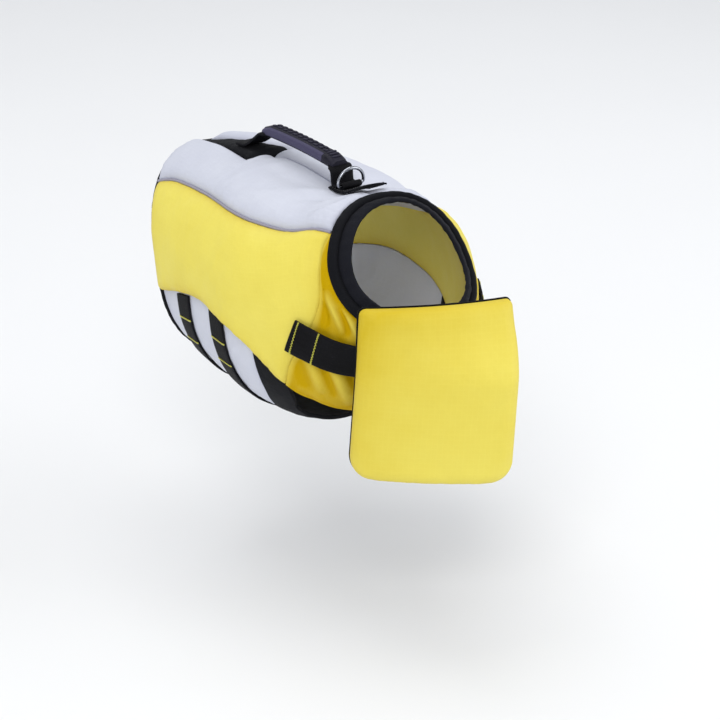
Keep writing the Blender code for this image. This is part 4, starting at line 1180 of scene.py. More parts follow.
def chest_strap():
    """Webbing across the chest: flat, with rounded edges and a slight wave."""
    right = np.asarray(CHEST_STRAP, float)
    left = right[::-1][1:] * (1, -1, 1) + (0, 360, 0)
    s, v, rest = smooth_rows(np.concatenate([right, left]), np.linspace(0, 1, STRAP_ROWS)).T
    lift = rest + 0.00015 * uneven(np.linspace(0, 1, STRAP_ROWS) * 6, 3.1)
    middle = point(s, v)
    side = unit(np.cross(unit(np.gradient(middle, axis=0)), normal(s, v)))
    there = [surface_step(s, v, side * offset * CHEST_STRAP_WIDTH) for offset in STRAP_OFFSETS]
    outer = np.stack([raised(ps, pv, lift + CHEST_STRAP_WALL * share)
                      for (ps, pv), share in zip(there, STRAP_WALL_SHARE)], 1)
    inner = np.stack([raised(ps, pv, lift) for ps, pv in there], 1)
    run = run_along(middle)
    webbing_piece("chest_strap", outer, inner, run, STRAP_OFFSETS * CHEST_STRAP_WIDTH)
    return outer, np.stack([normal(ps, pv) for ps, pv in there], 1), run


def belly_strap(name, middle_y):
    """Webbing under the belly from one flank to the other, both ends tucked under the panel's edge."""
    across = middle_y - STRAP_OFFSETS * BELLY_STRAP_WIDTH
    edge = smooth_rows(FLANK_EDGE, np.linspace(0, 1, 400))
    edge_y = point(edge[:, 0], edge[:, 1])[:, 1]
    first = np.interp(-across, -edge_y, edge[:, 1]) + 0.6
    t = np.linspace(0, 1, STRAP_ROWS)[:, None]
    v = first[None, :] * (1 - t) + (360 - first[None, :]) * t
    s = section_at(np.broadcast_to(across, v.shape), v)
    lift = BELLY_STRAP_REST + 0.00012 * uneven(t * 9, middle_y * 50) + 0 * v
    outer = raised(s, v, lift + BELLY_STRAP_WALL * STRAP_WALL_SHARE[None, :])
    run = run_along(outer[:, len(STRAP_OFFSETS) // 2])
    webbing_piece(name, outer, raised(s, v, lift), run, STRAP_OFFSETS * BELLY_STRAP_WIDTH)
    return outer, normal(s, v), run


def zigzag(outer, ways, run, distance, skew):
    """A zigzag seam across a strap at a distance from its end: thread rings to either side of the line."""
    columns = outer.shape[1]
    share = np.linspace(0, 1, TACK_STEPS * 2 + 1)
    width = np.linalg.norm(outer[0, -1] - outer[0, 0])
    share = TACK_INSET / width + share * (1 - 2 * TACK_INSET / width)
    swing = np.abs((np.linspace(0, TACK_STEPS, len(share)) % 2) - 1) * 2 - 1
    at = distance + skew * (share - 0.5) + swing * TACK_SWING
    column = share * (columns - 1)
    places = []
    for table in (outer, ways):
        flat = np.stack([np.stack([np.interp(at, run, table[:, c, k]) for c in range(columns)], 1)
                         for k in range(3)], -1)
        low = np.clip(column.astype(int), 0, columns - 2)
        part = (column - low)[:, None]
        index = np.arange(len(share))
        places.append(flat[index, low] * (1 - part) + flat[index, low + 1] * part)
    path, up = places
    up = unit(up)
    return tube(path + up * 0.00012, up, TACK_THREAD, 6)


# Chin float


def float_frame(depth):
    """The chin float's directions at each depth: across to the left flank, down, and out ahead."""
    eased = smooth_step(np.asarray(depth, float) / FLOAT_TWIST_DEPTH)
    turn = np.radians(FLOAT_TOP_TURN + (FLOAT_TURN - FLOAT_TOP_TURN) * eased)
    roll = math.radians(FLOAT_ROLL)
    tilt = math.radians(FLOAT_TILT)
    level = np.zeros(turn.shape)
    out = np.stack([-np.sin(turn), -np.cos(turn), level], -1)
    across = np.stack([np.cos(turn), -np.sin(turn), level], -1)
    down = np.array([0.0, 0.0, -1.0]) * math.cos(tilt) + out * math.sin(tilt)
    rolled = across * math.cos(roll) + down * math.sin(roll)
    hang = down * math.cos(roll) - across * math.sin(roll)
    return rolled, hang, np.cross(hang, rolled)


def float_outline(depth, margin):
    """Half width of the float at a depth below its top edge, with rounded corners."""
    foot = FLOAT_HEIGHT + margin
    half = FLOAT_WIDTH / 2 + margin + FLOAT_FOOT_EXTRA / 2 * np.clip(depth / FLOAT_HEIGHT, 0, 1)
    low = np.clip((FLOAT_CORNER - (foot - depth)) / FLOAT_CORNER, 0, 1)
    high = np.clip((FLOAT_TOP_CORNER - (depth + margin)) / FLOAT_TOP_CORNER, 0, 1)
    half = half - FLOAT_CORNER * (1 - np.sqrt(1 - low ** 2))
    return half - FLOAT_TOP_CORNER * (1 - np.sqrt(1 - high ** 2))


def float_points(corner, depth, across, out):
    """Points of the float from its top right corner; each depth turns about the straight right edge."""
    rolled, _, front = float_frame(depth)
    _, hang, _ = float_frame(FLOAT_HEIGHT)
    bow = FLOAT_BOW * (across / (FLOAT_WIDTH / 2)) ** 2
    return (corner + depth[..., None] * hang + (across + FLOAT_WIDTH / 2)[..., None] * rolled
            + (out - bow)[..., None] * front)


def float_grid(margin, rows, columns):
    """Depths and distances from the middle of a float layer's grid."""
    depth = edge_spaced(rows, 0.8) * (FLOAT_HEIGHT + 2 * margin) - margin
    half = float_outline(depth, margin)
    spread = np.sin(np.linspace(-1, 1, columns) * math.pi / 2)
    across = half[:, None] * spread[None, :]
    return np.broadcast_to(depth[:, None], across.shape), across, half


def chin_float(sizes):
    """Foam flap and its black backing, hung where the solid model has them."""
    depth, across, half = float_grid(0.0, *GRIDS["float"])
    to_side = half[:, None] - np.abs(across)
    to_head = np.minimum(depth, FLOAT_HEIGHT - depth)
    full = round_over((to_side, to_head), (FLOAT_ROUND, FLOAT_ROUND))
    start = FLOAT_BACK_WALL + 3 * SEAM_GAP
    crown = start + FLOAT_WALL * (FLOAT_EDGE_SHARE + (1 - FLOAT_EDGE_SHARE) * full)
    corner = np.array([FLOAT_TOP_CORNER_PLACE[0], 0.0, FLOAT_TOP_CORNER_PLACE[1]])
    corner[1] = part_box("chin_float")[0][1] - float_points(corner, depth, across, crown)[..., 1].min()
    dents = creases(across, depth, FLOAT_CREASES) * sizes.crease_share
    dents = dents + 0.0004 * uneven(across / 0.05 + depth / 0.08, 2.2)
    edge = np.minimum(to_side, to_head)
    dents = dents + puckers(edge, across + depth * 0.9, 0.006, sizes.pucker_height, 6.2)
    outer = float_points(corner, depth, across, crown + dents * full ** 0.5 - 0.0003)
    back = float_points(corner, depth, across, np.full(across.shape, start))
    uv = np.stack([depth, across], -1) * 1000
    # painted shade: the cloth is deeper towards the top and the right flank, lighter at the foot, and deeper
    # along its edges
    rim = (across + FLOAT_WIDTH / 2) / FLOAT_RIM_SHADE_REACH
    tint = FLOAT_RIM_SHADE * np.exp(-rim) * (1 - FLOAT_FOOT_SHADE_LOSS * depth / FLOAT_HEIGHT)
    tint = tint + FLOAT_HEAD_SHADE * np.exp(-depth / FLOAT_HEAD_SHADE_REACH)
    tint = np.clip(tint + 0.22 * seam_share(edge, reach=0.002) + 0.05, 0, 1)
    obj = shell("chin_float", outer, back, "yellow_nylon_oxford", uv, tint, 0.0009)
    depth, across, half = float_grid(FLOAT_BACK_MARGIN, *GRIDS["backing"])
    edge = np.minimum(half[:, None] - np.abs(across), FLOAT_HEIGHT + FLOAT_BACK_MARGIN - depth)
    rear = float_points(corner, depth, across, np.zeros(across.shape))
    face = float_points(corner, depth, across, np.full(across.shape, FLOAT_BACK_WALL))
    obj = shell("chin_float_backing", face, rear, "black_polyester_oxford",
                np.stack([depth, across], -1) * 1000, seam_share(edge), 0.0005)
    as_sheet(obj, face)


# Handle and ring


def spine_height(y, height):
    """The z of the spine at y, moved out by a height."""
    y = np.asarray(y, float)
    s = section_at(y, np.zeros(y.shape))
    return raised(s, np.zeros(y.shape), np.broadcast_to(height, y.shape))[..., 2]


def patch_crown(y):
    """Height of the back patch's middle over the body surface at y: it fills out towards its front."""
    along = section_at(y, np.zeros(y.shape)) / PATCH_FRONT[2][0]
    return PATCH_CROWN_REAR + (PATCH_CROWN - PATCH_CROWN_REAR) * along


def grip_middle(t):
    """The grip's centre line in y and z, from its rear end (0) to its front end (1)."""
    y = GRIP_REAR_Y + (GRIP_FRONT_Y - GRIP_REAR_Y) * t
    z = GRIP_REAR_Z + (GRIP_FRONT_Z - GRIP_REAR_Z) * t + GRIP_ARCH * (1 - (2 * t - 1) ** 2)
    return y, z


def base_top(sizes):
    """Height over the body of the black strip that carries the ring."""
    return sizes.back_crown + HANDLE_BASE_LIFT


def handle_line(sizes):
    """The webbing's line in y and z: behind, up under the grip and down again in front, rounded."""
    rear_y = np.linspace(*HANDLE_REAR_FOOT, 4)
    rear_z = spine_height(rear_y, patch_crown(rear_y)) + 3 * SEAM_GAP
    grip_y, grip_z = grip_middle(np.linspace(0.0, 1.0, 13))
    grip_z = grip_z - GRIP_WALL / 2 - HANDLE_WEB_WALL - SEAM_GAP
    front_y = np.linspace(*HANDLE_FRONT_FOOT, 3)
    front_z = spine_height(front_y, base_top(sizes)) + 2 * SEAM_GAP
    foot, tail, nose, toe = HANDLE_TURNS
    y = np.concatenate([rear_y, (rear_y[-1] - foot[0], grip_y[0] + tail[0]), grip_y,
                        (grip_y[-1] - nose[0], front_y[0] + toe[0]), front_y])
    z = np.concatenate([rear_z, (rear_z[-1] + foot[1], grip_z[0] - tail[1]), grip_z,
                        (grip_z[-1] - nose[1], front_z[0] + toe[1]), front_z])
    run = run_along(np.stack([y, z], -1))
    at = np.linspace(0, run[-1], HANDLE_ROWS)
    weights = np.exp(-(np.arange(-HANDLE_SPREAD, HANDLE_SPREAD + 1) / (HANDLE_SPREAD / 2)) ** 2)
    weights = weights / weights.sum()
    y, z = (np.convolve(np.pad(np.interp(at, run, way), HANDLE_SPREAD, "reflect", reflect_type="odd"),
                        weights, "valid") for way in (y, z))
    return at, y, z


def handle_webbing(sizes):
    """Webbing of the handle, of one width and wall along its line."""
    at, y, z = handle_line(sizes)
    run = np.stack([np.zeros_like(y), y, z], -1)
    up = np.cross(unit(np.gradient(run, axis=0)), ACROSS)
    # inside the grip the webbing is folded narrower
    inside = (np.clip((GRIP_REAR_Y - FOLD_INSET - y) / FOLD_EASE, 0, 1)
              * np.clip((y - GRIP_FRONT_Y - FOLD_INSET) / FOLD_EASE, 0, 1))
    inside = np.where(z > run[:, 2].mean(), smooth_step(inside), 0.0)
    across = STRAP_OFFSETS[None, :] * (HANDLE_WEB_WIDTH - HANDLE_WEB_FOLD * inside[:, None])
    low = run[:, None] + across[..., None] * ACROSS
    outer = low + up[:, None] * (HANDLE_WEB_WALL * STRAP_WALL_SHARE)[None, :, None]
    webbing_piece("handle_webbing", outer, low, at, across)


def handle_base(sizes):
    """Black strip on the spine from under the handle's front end to the neck rim."""
    y = np.linspace(*HANDLE_BASE_Y, HANDLE_BASE_ROWS)
    across = np.linspace(-HANDLE_BASE_HALF, HANDLE_BASE_HALF, HANDLE_BASE_COLUMNS)
    middle = section_at(y, np.zeros(y.shape))
    angle = np.linspace(-30, 30, 241)
    reach = point(middle[:, None], angle[None, :]) - point(middle, np.zeros(middle.shape))[:, None]
    reach = np.linalg.norm(reach, axis=-1) * np.sign(angle)
    v = np.stack([np.interp(across, row, angle) for row in reach])
    s = np.broadcast_to(middle[:, None], v.shape)
    edge = np.minimum(HANDLE_BASE_HALF - np.abs(across)[None, :], HANDLE_BASE_ROUND)
    drop = 0.0006 * (1 - edge / HANDLE_BASE_ROUND) ** 2
    high = np.broadcast_to(base_top(sizes) - drop + 0.0002 * uneven(y[:, None] / 0.012, 1.9), v.shape)
    seam = np.broadcast_to(np.exp(-(HANDLE_BASE_HALF - np.abs(across)) / 0.001)[None, :], v.shape)
    outer = raised(s, v, high)
    obj = shell("handle_base", outer, raised(s, v, high - HANDLE_BASE_WALL), "black_polyester_oxford",
                mesh_places(y, across), seam, HARD_EDGE)
    as_sheet(obj, outer)
    rows = []
    for x in (STITCH_INSET - HANDLE_BASE_HALF, HANDLE_BASE_HALF - STITCH_INSET):
        column = int(round((x / HANDLE_BASE_HALF + 1) / 2 * (HANDLE_BASE_COLUMNS - 1)))
        rows.append(stitch_row(outer[:, column], normal(s[:, column], v[:, column]), STITCH_PITCH,
                               STITCH_LENGTH, STITCH_THREAD))
    points, quads = join_batches(rows, 5, 6)
    add_piece("handle_base_stitches", points, quads, "black_thread")


def grip_frame(t):
    """Centre, up and forward directions of the grip at places t."""
    y, z = grip_middle(t)
    run = np.stack([np.zeros_like(y), y, z], -1)
    forward = unit(np.stack([np.zeros_like(y), np.full_like(y, GRIP_FRONT_Y - GRIP_REAR_Y),
                             (GRIP_FRONT_Z - GRIP_REAR_Z) - GRIP_ARCH * 4 * (2 * t - 1)], -1))
    return run, np.cross(forward, ACROSS), forward


def grip_fullness(t):
    """Share of the grip's full height at places t: its ends are lower."""
    return np.minimum(1.0, 0.55 + 0.45 * np.minimum(t, 1 - t) / GRIP_END)


def handle_grip():
    """Moulded grip: an arched bar with a flange along each flank, lower ends and a stepped front block."""
    t = edge_spaced(150, 0.6)
    run, up, _ = grip_frame(t)
    full = grip_fullness(t)
    block = np.clip((t - GRIP_BLOCK) / 0.012, 0, 1) * np.clip((0.985 - t) / 0.012, 0, 1)
    top = GRIP_WALL * (full - 0.5) + 0.0005 * block
    # the rubber is moulded round the webbing, so its flanks reach down past the webbing's edges
    low = np.full(len(t), -GRIP_WALL / 2 - GRIP_SKIRT)
    half = GRIP_WIDTH / 2 * np.minimum(1.0, 0.90 + 0.12 * full)
    # one flank of the section, from the middle of the top down to the underside
    flank = [(0 * half, top), (half * 0.4, top), (half - 0.0042, top), (half - 0.0034, top - 0.0001),
             (half - 0.0029, top - 0.0006), (half - 0.0022, top - 0.0010), (half - 0.0009, top - 0.0017),
             (half - 0.0002, top - 0.0024), (half + 0.0001, low + 0.0014), (half - 0.0003, low + 0.0005),
             (half - 0.0012, low), (half * 0.5, low)]
    section = [(-x, h) for x, h in flank[1:]] + [(0 * half, low)] + list(flank[::-1])
    across = np.stack([x for x, _ in section], 1)
    high = np.stack([h for _, h in section], 1)
    points = run[:, None] + across[..., None] * ACROSS + high[..., None] * up[:, None]
    edge = np.abs(across) > half[:, None] - 0.0028
    # each flank takes the paler colour: partly the rubber's second tone, partly painted sheen of the side
    # faces
    flank_tone_and_sheen = np.where(edge & (high > low[:, None] + 0.0002) & (t < GRIP_BLOCK - 0.01)[:, None], 0.85, 0.0)
    grip = add_piece("handle_grip", points, loft_quads(*points.shape[:2]), "moulded_rubber", tube_uv(points),
                     flank_tone_and_sheen, nodes=("handle_grip",))
    soften(grip, HARD_EDGE)
    lugs = []
    place = np.linspace(GRIP_END + 0.03, 0.84, GRIP_LUGS)
    for side in (-1, 1):
        lugs.append(lug_points(place + 0.010 * side, side * 0.0017, 0.0014, 0.0021, GRIP_LUG_HEIGHT, 0.6))
    lugs.append(lug_points(np.array([0.885, 0.918, 0.951]), 0.0, 0.0044, 0.0011, 0.0009, 0.0, 0.0005))
    points, quads = join_batches(lugs, 5, 12)
    add_piece("grip_lugs", points, quads, "moulded_rubber", seam=np.full(len(points), 0.12))


def lug_points(place, x, half_width, half_length, height, lean, lift=0.0):
    """Raised lugs on the grip's top: rounded rectangles that shrink in five rings towards the top."""
    run, up, forward = grip_frame(place)
    angle = round_angles(12) + math.pi / 12
    px = signed_power(np.cos(angle), 0.55) * half_width
    py = signed_power(np.sin(angle), 0.55) * half_length
    scale = np.array([1.0, 1.0, 0.94, 0.80, 0.45])
    rise = np.array([-0.4, 0.5, 0.82, 0.97, 1.0]) * height
    across = px[None, :] * scale[:, None]
    ahead = py[None, :] * scale[:, None] + lean * across
    floor = (GRIP_WALL * (grip_fullness(place) - 0.5) + lift)[:, None, None]
    high = floor + np.broadcast_to(rise[None, :, None], (len(run), 5, 12))
    return (run[:, None, None] + (across + x)[None, ..., None] * ACROSS
            + forward[:, None, None] * ahead[None, ..., None] + up[:, None, None] * high[..., None])


def ring_height(sizes):
    """Height of the ring's bar: its loop lies on the strip ahead of the handle."""
    return float(spine_height(np.array([DRING_Y]), base_top(sizes))[0]) + LOOP_OUTER + SEAM_GAP


def steel_ring(sizes):
    """Steel D-ring: a straight bar and a round bow of one wire, with rounded corners."""
    half = DRING_WIDTH / 2 - DRING_WIRE
    tall = DRING_HEIGHT - 2 * DRING_WIRE
    a = np.linspace(0, math.pi, 49)
    bow = np.stack([-half * np.cos(a), tall - half * 0.92 + half * 0.92 * np.sin(a)], -1)
    a = np.linspace(0.05, math.pi / 2, 10)
    foot = np.stack([half - DRING_CORNER * (1 - np.cos(a)), DRING_CORNER * (1 - np.sin(a))], -1)
    bar = np.stack([np.linspace(half - DRING_CORNER, -half + DRING_CORNER, 14)[1:-1], np.zeros(12)], -1)
    outline = np.concatenate([bow, foot, bar, (foot * (-1, 1))[::-1]])
    lean = math.radians(DRING_LEAN)
    path = np.stack([outline[:, 0], DRING_Y - outline[:, 1] * math.sin(lean),
                     ring_height(sizes) + outline[:, 1] * math.cos(lean)], -1)
    up = np.broadcast_to(np.array([0.0, -math.cos(lean), -math.sin(lean)]), path.shape)
    rings = tube(path, up, DRING_WIRE, 16, closed=True)
    add_piece("dring_wire", rings, loft_quads(*rings.shape[:2], closed=True), "nickel_plated_steel",
              body="d_ring", nodes=("dring",))


def ring_loop(sizes):
    """Webbing sleeve round the ring's bar: a ring wall carried round the bar's axis."""
    angle = round_angles(LOOP_SIDES)[:, None]
    half = LOOP_LENGTH / 2
    wall = np.array([(-half, LOOP_BORE + 0.0002), (-half, LOOP_OUTER - 0.0003), (-half + 0.0004, LOOP_OUTER),
                     (0, LOOP_OUTER), (half - 0.0004, LOOP_OUTER), (half, LOOP_OUTER - 0.0003),
                     (half, LOOP_BORE + 0.0002), (half - 0.0002, LOOP_BORE), (0, LOOP_BORE),
                     (-half + 0.0002, LOOP_BORE)])
    x = np.broadcast_to(wall[:, 0][None, :], (LOOP_SIDES, len(wall)))
    y = DRING_Y + np.cos(angle) * wall[:, 1][None, :]
    z = ring_height(sizes) + np.sin(angle) * wall[:, 1][None, :]
    points = np.stack([x, y, z], -1)
    add_piece("dring_loop", points, loft_quads(*points.shape[:2], closed=True), "polypropylene_webbing",
              mesh_places(angle[:, 0] * LOOP_OUTER, wall[:, 0]), nodes=("dring_loop",))


# Stage


def area_light(name, place, size, power, colour):
    """A soft box that points at the middle of the stage."""
    data = bpy.data.lights.new(name, "AREA")
    data.shape = "RECTANGLE"
    data.size, data.size_y = size
    data.energy = power
    data.color = colour
    lamp = bpy.data.objects.new(name, data)
    lamp.location = place
    lamp.rotation_mode = "QUATERNION"
    lamp.rotation_quaternion = (Vector(STAGE_CENTRE) - Vector(place)).to_track_quat("-Z", "Y")
    bpy.context.scene.collection.objects.link(lamp)


def stage_set(stage):
    """Pale floor with a curved backdrop, soft boxes, pale world and the camera of the photograph."""
    t = np.linspace(0, 1, SWEEP_ROWS)
    start, stop = SWEEP_TURN
    bend = np.clip((t - start) / (stop - start), 0, 1) * math.pi / 2
    y = np.interp(t, (0, start), SWEEP_FLOOR) + SWEEP_RADIUS * np.sin(bend)
    z = SWEEP_RADIUS * (1 - np.cos(bend)) + np.clip(t - stop, 0, 1) * SWEEP_WALL
    x = np.linspace(-SWEEP_HALF, SWEEP_HALF, SWEEP_COLUMNS)
    grid = np.stack(np.broadcast_arrays(x[None, :], y[:, None], z[:, None] - HOLD_HEIGHT), -1)
    first = (np.arange(SWEEP_ROWS - 1)[:, None] * SWEEP_COLUMNS + np.arange(SWEEP_COLUMNS - 1)).ravel()
    quads = first[:, None] + (0, 1, SWEEP_COLUMNS + 1, SWEEP_COLUMNS)
    mesh = bpy.data.meshes.new("paper_sweep")
    mesh.from_pydata(grid.reshape(-1, 3).tolist(), [], quads.tolist())
    mesh.shade_smooth()
    # seamless paper: matt, near white
    material, shader = new_finish("seamless_paper", 0.9, specular=0.1)
    colour_between(material, shader, noise(material, 3.0, 2.0), (0.86, 0.865, 0.875), (0.84, 0.845, 0.855))
    mesh.materials.append(material)
    sweep = bpy.data.objects.new("paper_sweep", mesh)
    bpy.context.scene.collection.objects.link(sweep)
    world = bpy.data.worlds.new("studio")
    world.use_nodes = True
    sky = world.node_tree.nodes["Background"].inputs
    sky["Color"].default_value = (0.95, 0.97, 1.0, 1)
    sky["Strength"].default_value = stage.world
    bpy.context.scene.world = world
    for name, place, size, colour in LIGHTS:
        area_light(name + "_box", place, size, getattr(stage, name), colour)
    azimuth = math.radians(CAMERA_AZIMUTH)
    elevation = math.radians(CAMERA_ELEVATION)
    back = Vector((math.sin(azimuth) * math.cos(elevation), -math.cos(azimuth) * math.cos(elevation),
                   math.sin(elevation)))
    right = Vector((math.cos(azimuth), math.sin(azimuth), 0.0))
    up = back.cross(right)
    data = bpy.data.cameras.new("photo_camera")
    data.lens = CAMERA_LENS
    data.sensor_width = SENSOR_WIDTH
    data.clip_start = 0.05
    camera = bpy.data.objects.new("photo_camera", data)
    turned = Matrix((right, up, back)).transposed().to_4x4()
    camera.matrix_world = Matrix.Translation(CAMERA_PLACE) @ turned
    bpy.context.scene.collection.objects.link(camera)
    bpy.context.scene.camera = camera
    bpy.context.scene.view_settings.view_transform = "Standard"
    bpy.context.scene.view_settings.look = "None"


# Add-on


def colour_property(name, code, description):
    """A colour in the sidebar, whose default is an sRGB hex value turned to linear."""
    return bpy.props.FloatVectorProperty(name=name, description=description, default=linear(code), size=3,
                                         subtype="COLOR", min=0.0, max=1.0)


def number_property(name, description, default, maximum, **kind):
    """A number in the sidebar that isn't negative."""
    return bpy.props.FloatProperty(name=name, description=description, default=default, min=0.0, max=maximum,
                                   **kind)


class JacketSizes(bpy.types.PropertyGroup):
    """Sizes of the cloth that a user would change."""

    back_crown: number_property("Back foam", "Height of the pale foam over the body surface", 0.0045, 0.02,
                                unit="LENGTH")
    side_crown: number_property("Side foam", "Height of the yellow foam over the body surface", 0.0030, 0.02,
                                unit="LENGTH")
    pucker_height: number_property("Gathers", "Height of the gathers along the seams", 0.0006, 0.003,
                                   unit="LENGTH")
    crease_share: number_property("Creases", "How strong the soft creases are", 1.0, 2.0, subtype="FACTOR")
    fold_share: number_property("Chest folds", "How strong the upright folds of the chest are", 1.0, 2.0,
                                subtype="FACTOR")


class JacketColours(bpy.types.PropertyGroup):
    """Colours of the finishes."""

    pale: colour_property("Pale cloth", "CFD2DD", "Back and belly panels")
    # the deeper pale colour is painted shade beside the seams, and random uneven tone elsewhere
    pale_deep: colour_property("Pale cloth in seams", "A3A6BC", "Back and belly panels beside their seams")
    yellow: colour_property("Yellow cloth", "EADD66", "Side panels and chin float")
    # the deeper yellow is painted shade beside the seams, towards the chest and across the chin float, and
    # random uneven tone elsewhere
    yellow_deep: colour_property("Yellow cloth in seams", "CDB21C", "Side panels beside their seams")
    # painted shade: the chest's deeper colour stands for shade under the chin and in its folds
    chest_deep: colour_property("Chest cloth", "C09C00", "Loose chest panels, deepest in their folds")
    black: colour_property("Black cloth", "101116", "Patch, gussets, rim and backing")
    black_deep: colour_property("Black cloth, deeper", "0A0B0E", "Uneven dye of the black cloth")
    collar: colour_property("Collar band", "181920", "Knitted band inside the rim")
    webbing: colour_property("Webbing", "09090C", "Straps")
    webbing_worn: colour_property("Worn webbing", "131318", "Strap edges and ribs")
    piping: colour_property("Piping", "9A97A6", "Reflective cord of the shoulder seams")
    piping_deep: colour_property("Piping, deeper", "777482", "Uneven shine of the piping")
    lime: colour_property("Thread", "CFCB35", "Cross seams of the straps")
    rubber: colour_property("Rubber", "15151B", "Top of the grip")
    # the paler flank colour is partly the rubber's second tone, partly painted sheen of the side faces
    rubber_flank: colour_property("Rubber flank", "47445E", "Flanks of the grip")
    steel: colour_property("Steel", "A9ACB4", "Ring")


class JacketStage(bpy.types.PropertyGroup):
    """Strength of the studio lights."""

    key: number_property("Key light", "Power of the large box ahead on the left", 34.0, 1000.0, unit="POWER")
    fill: number_property("Fill light", "Power of the box on the right", 26.0, 1000.0, unit="POWER")
    top: number_property("Top light", "Power of the box above and behind", 24.0, 1000.0, unit="POWER")
    low: number_property("Low light", "Power of the box beside the belly", 4.0, 1000.0, unit="POWER")
    world: number_property("Room light", "Strength of the even light all round", 0.55, 10.0)


class JacketStep:
    """What all build steps share: build() makes the step's pieces from the scene's sizes."""

    def execute(self, context):
        self.build(context.scene.jacket_sizes)
        return {"FINISHED"}


class JACKET_OT_back_panels(JacketStep, bpy.types.Operator):
    """Pale foam panels of the back and the black patch between them"""

    bl_idname = "jacket.back_panels"
    bl_label = "Back panels"

    def build(self, sizes):
        for left in SIDES:
            back_panel(left, sizes)
        back_patch(sizes)


class JACKET_OT_side_panels(JacketStep, bpy.types.Operator):
    """Yellow foam panels of the flanks"""

    bl_idname = "jacket.side_panels"
    bl_label = "Side panels"

    def build(self, sizes):
        for left in SIDES:
            side_panel(left, sizes)


class JACKET_OT_piping(JacketStep, bpy.types.Operator):
    """Grey piping of the shoulder seams"""

    bl_idname = "jacket.piping"
    bl_label = "Piping"

    def build(self, sizes):
        for left in SIDES:
            piping(left)


class JACKET_OT_chest(JacketStep, bpy.types.Operator):
    """Loose yellow cloth of the chest with its folds"""

    bl_idname = "jacket.chest"
    bl_label = "Chest panels"

    def build(self, sizes):
        for left in SIDES:
            chest_panel(left, sizes)


class JACKET_OT_belly(JacketStep, bpy.types.Operator):
    """Pale and black panels under the belly"""

    bl_idname = "jacket.belly"
    bl_label = "Belly panels"

    def build(self, sizes):
        for left in SIDES:
            belly_panels(left)
        belly_centre()


class JACKET_OT_edges(JacketStep, bpy.types.Operator):
    """Padded rim and knitted band of the neck, and the binding of the rear hem"""

    bl_idname = "jacket.edges"
    bl_label = "Rim, band and binding"

    def build(self, sizes):
        edge_ring("neck_rim", 1.0, 1, 0.00005, RIM_WIDTH, RIM_WALL, RIM_HEIGHT, RIM_SLOPE,
                  "black_polyester_oxford", 0.05, 0.7, True)
        edge_ring("neck_band", 1.0, 1, RIM_WIDTH - 0.0007, BAND_WIDTH, BAND_WALL, BAND_HEIGHT, BAND_SLOPE,
                  "collar_knit", 0.16, 1.9, True)
        edge_ring("hem_binding", 0.0, -1, 0.00005, HEM_WIDTH, HEM_WALL, HEM_HEIGHT, 0.0,
                  "black_polyester_oxford", 0.07, 2.7, False)


class JACKET_OT_straps(JacketStep, bpy.types.Operator):
    """Webbing straps of the belly and chest with their zigzag cross seams"""

    bl_idname = "jacket.straps"
    bl_label = "Straps"

    def build(self, sizes):
        straps = [(belly_strap(name, middle_y), BELLY_TACKS[name], BELLY_TACK_SKEW[name])
                  for name, middle_y in BELLY_STRAP_MIDDLES.items()]
        straps.append((chest_strap(), CHEST_TACKS, 0.0))
        tacks = []
        for (outer, ways, run), distances, skew in straps:
            for distance in distances:
                tacks.append(zigzag(outer, ways, run, distance, skew))
                tacks.append(zigzag(outer, ways, run, run[-1] - distance, -skew))
        points, quads = join_batches([tack[None] for tack in tacks], *tacks[0].shape[:2])
        add_piece("strap_cross_seams", points, quads, "lime_thread")


class JACKET_OT_chin_float(JacketStep, bpy.types.Operator):
    """Foam flap under the chin and its backing"""

    bl_idname = "jacket.chin_float"
    bl_label = "Chin float"

    def build(self, sizes):
        chin_float(sizes)


class JACKET_OT_handle(JacketStep, bpy.types.Operator):
    """Grab handle: strip, webbing and moulded grip"""

    bl_idname = "jacket.handle"
    bl_label = "Grab handle"

    def build(self, sizes):
        handle_base(sizes)
        handle_webbing(sizes)
        handle_grip()


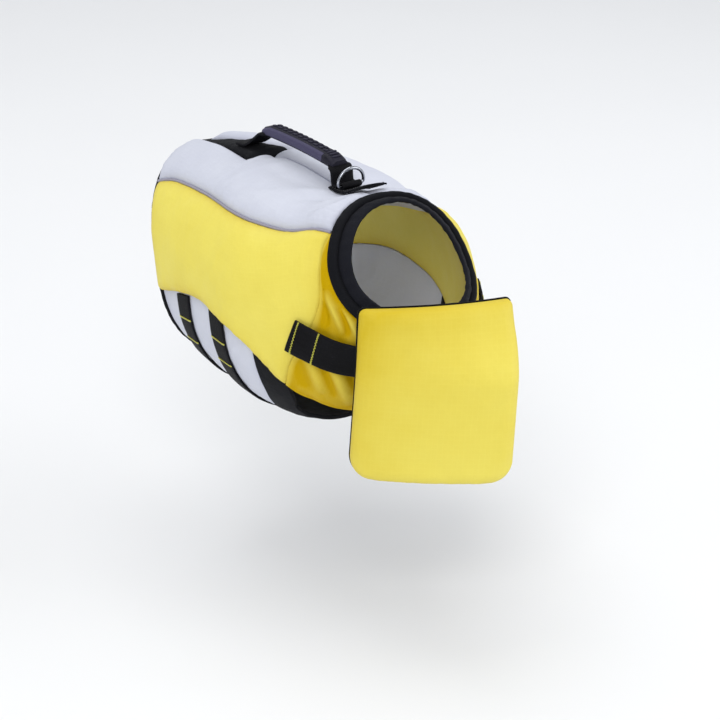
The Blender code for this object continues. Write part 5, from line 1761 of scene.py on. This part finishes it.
class JACKET_OT_ring(JacketStep, bpy.types.Operator):
    """Steel D-ring and its webbing loop"""

    bl_idname = "jacket.ring"
    bl_label = "D-ring"

    def build(self, sizes):
        steel_ring(sizes)
        ring_loop(sizes)


class JACKET_OT_stage(JacketStep, bpy.types.Operator):
    """Pale floor, studio lights and camera"""

    bl_idname = "jacket.stage"
    bl_label = "Stage"

    def build(self, sizes):
        stage_set(bpy.context.scene.jacket_stage)


OPERATORS = (
    JACKET_OT_back_panels, JACKET_OT_side_panels, JACKET_OT_piping, JACKET_OT_chest, JACKET_OT_belly,
    JACKET_OT_edges, JACKET_OT_straps, JACKET_OT_chin_float, JACKET_OT_handle, JACKET_OT_ring,
    JACKET_OT_stage,
)


class JACKET_PT_build(bpy.types.Panel):
    """Sidebar panel with the jacket's sizes, colours and pieces"""

    bl_label = "Dog life jacket"
    bl_idname = "JACKET_PT_build"
    bl_space_type = "VIEW_3D"
    bl_region_type = "UI"
    bl_category = "Jacket"

    def draw(self, context):
        for group in (context.scene.jacket_sizes, context.scene.jacket_colours, context.scene.jacket_stage):
            column = self.layout.column(align=True)
            for name in group.__annotations__:
                column.prop(group, name)
        for operator in OPERATORS:
            self.layout.operator(operator.bl_idname)


CLASSES = (JacketSizes, JacketColours, JacketStage, *OPERATORS, JACKET_PT_build)
FINISHES = {}
CUTS = {}


def register():
    """Registers the classes and hangs the properties on the scene."""
    for cls in CLASSES:
        bpy.utils.register_class(cls)
    bpy.types.Scene.jacket_sizes = bpy.props.PointerProperty(type=JacketSizes)
    bpy.types.Scene.jacket_colours = bpy.props.PointerProperty(type=JacketColours)
    bpy.types.Scene.jacket_stage = bpy.props.PointerProperty(type=JacketStage)


def unregister():
    """Takes the properties off the scene and the classes out."""
    del bpy.types.Scene.jacket_sizes
    del bpy.types.Scene.jacket_colours
    del bpy.types.Scene.jacket_stage
    for cls in reversed(CLASSES):
        bpy.utils.unregister_class(cls)


def main():
    """Builds every piece in order."""
    register()
    for operator in OPERATORS:
        group, name = operator.bl_idname.split(".")
        getattr(getattr(bpy.ops, group), name)()
    for name, cut in CUTS.items():
        print("cut", name, *cut)


if __name__ == "__main__":
    main()
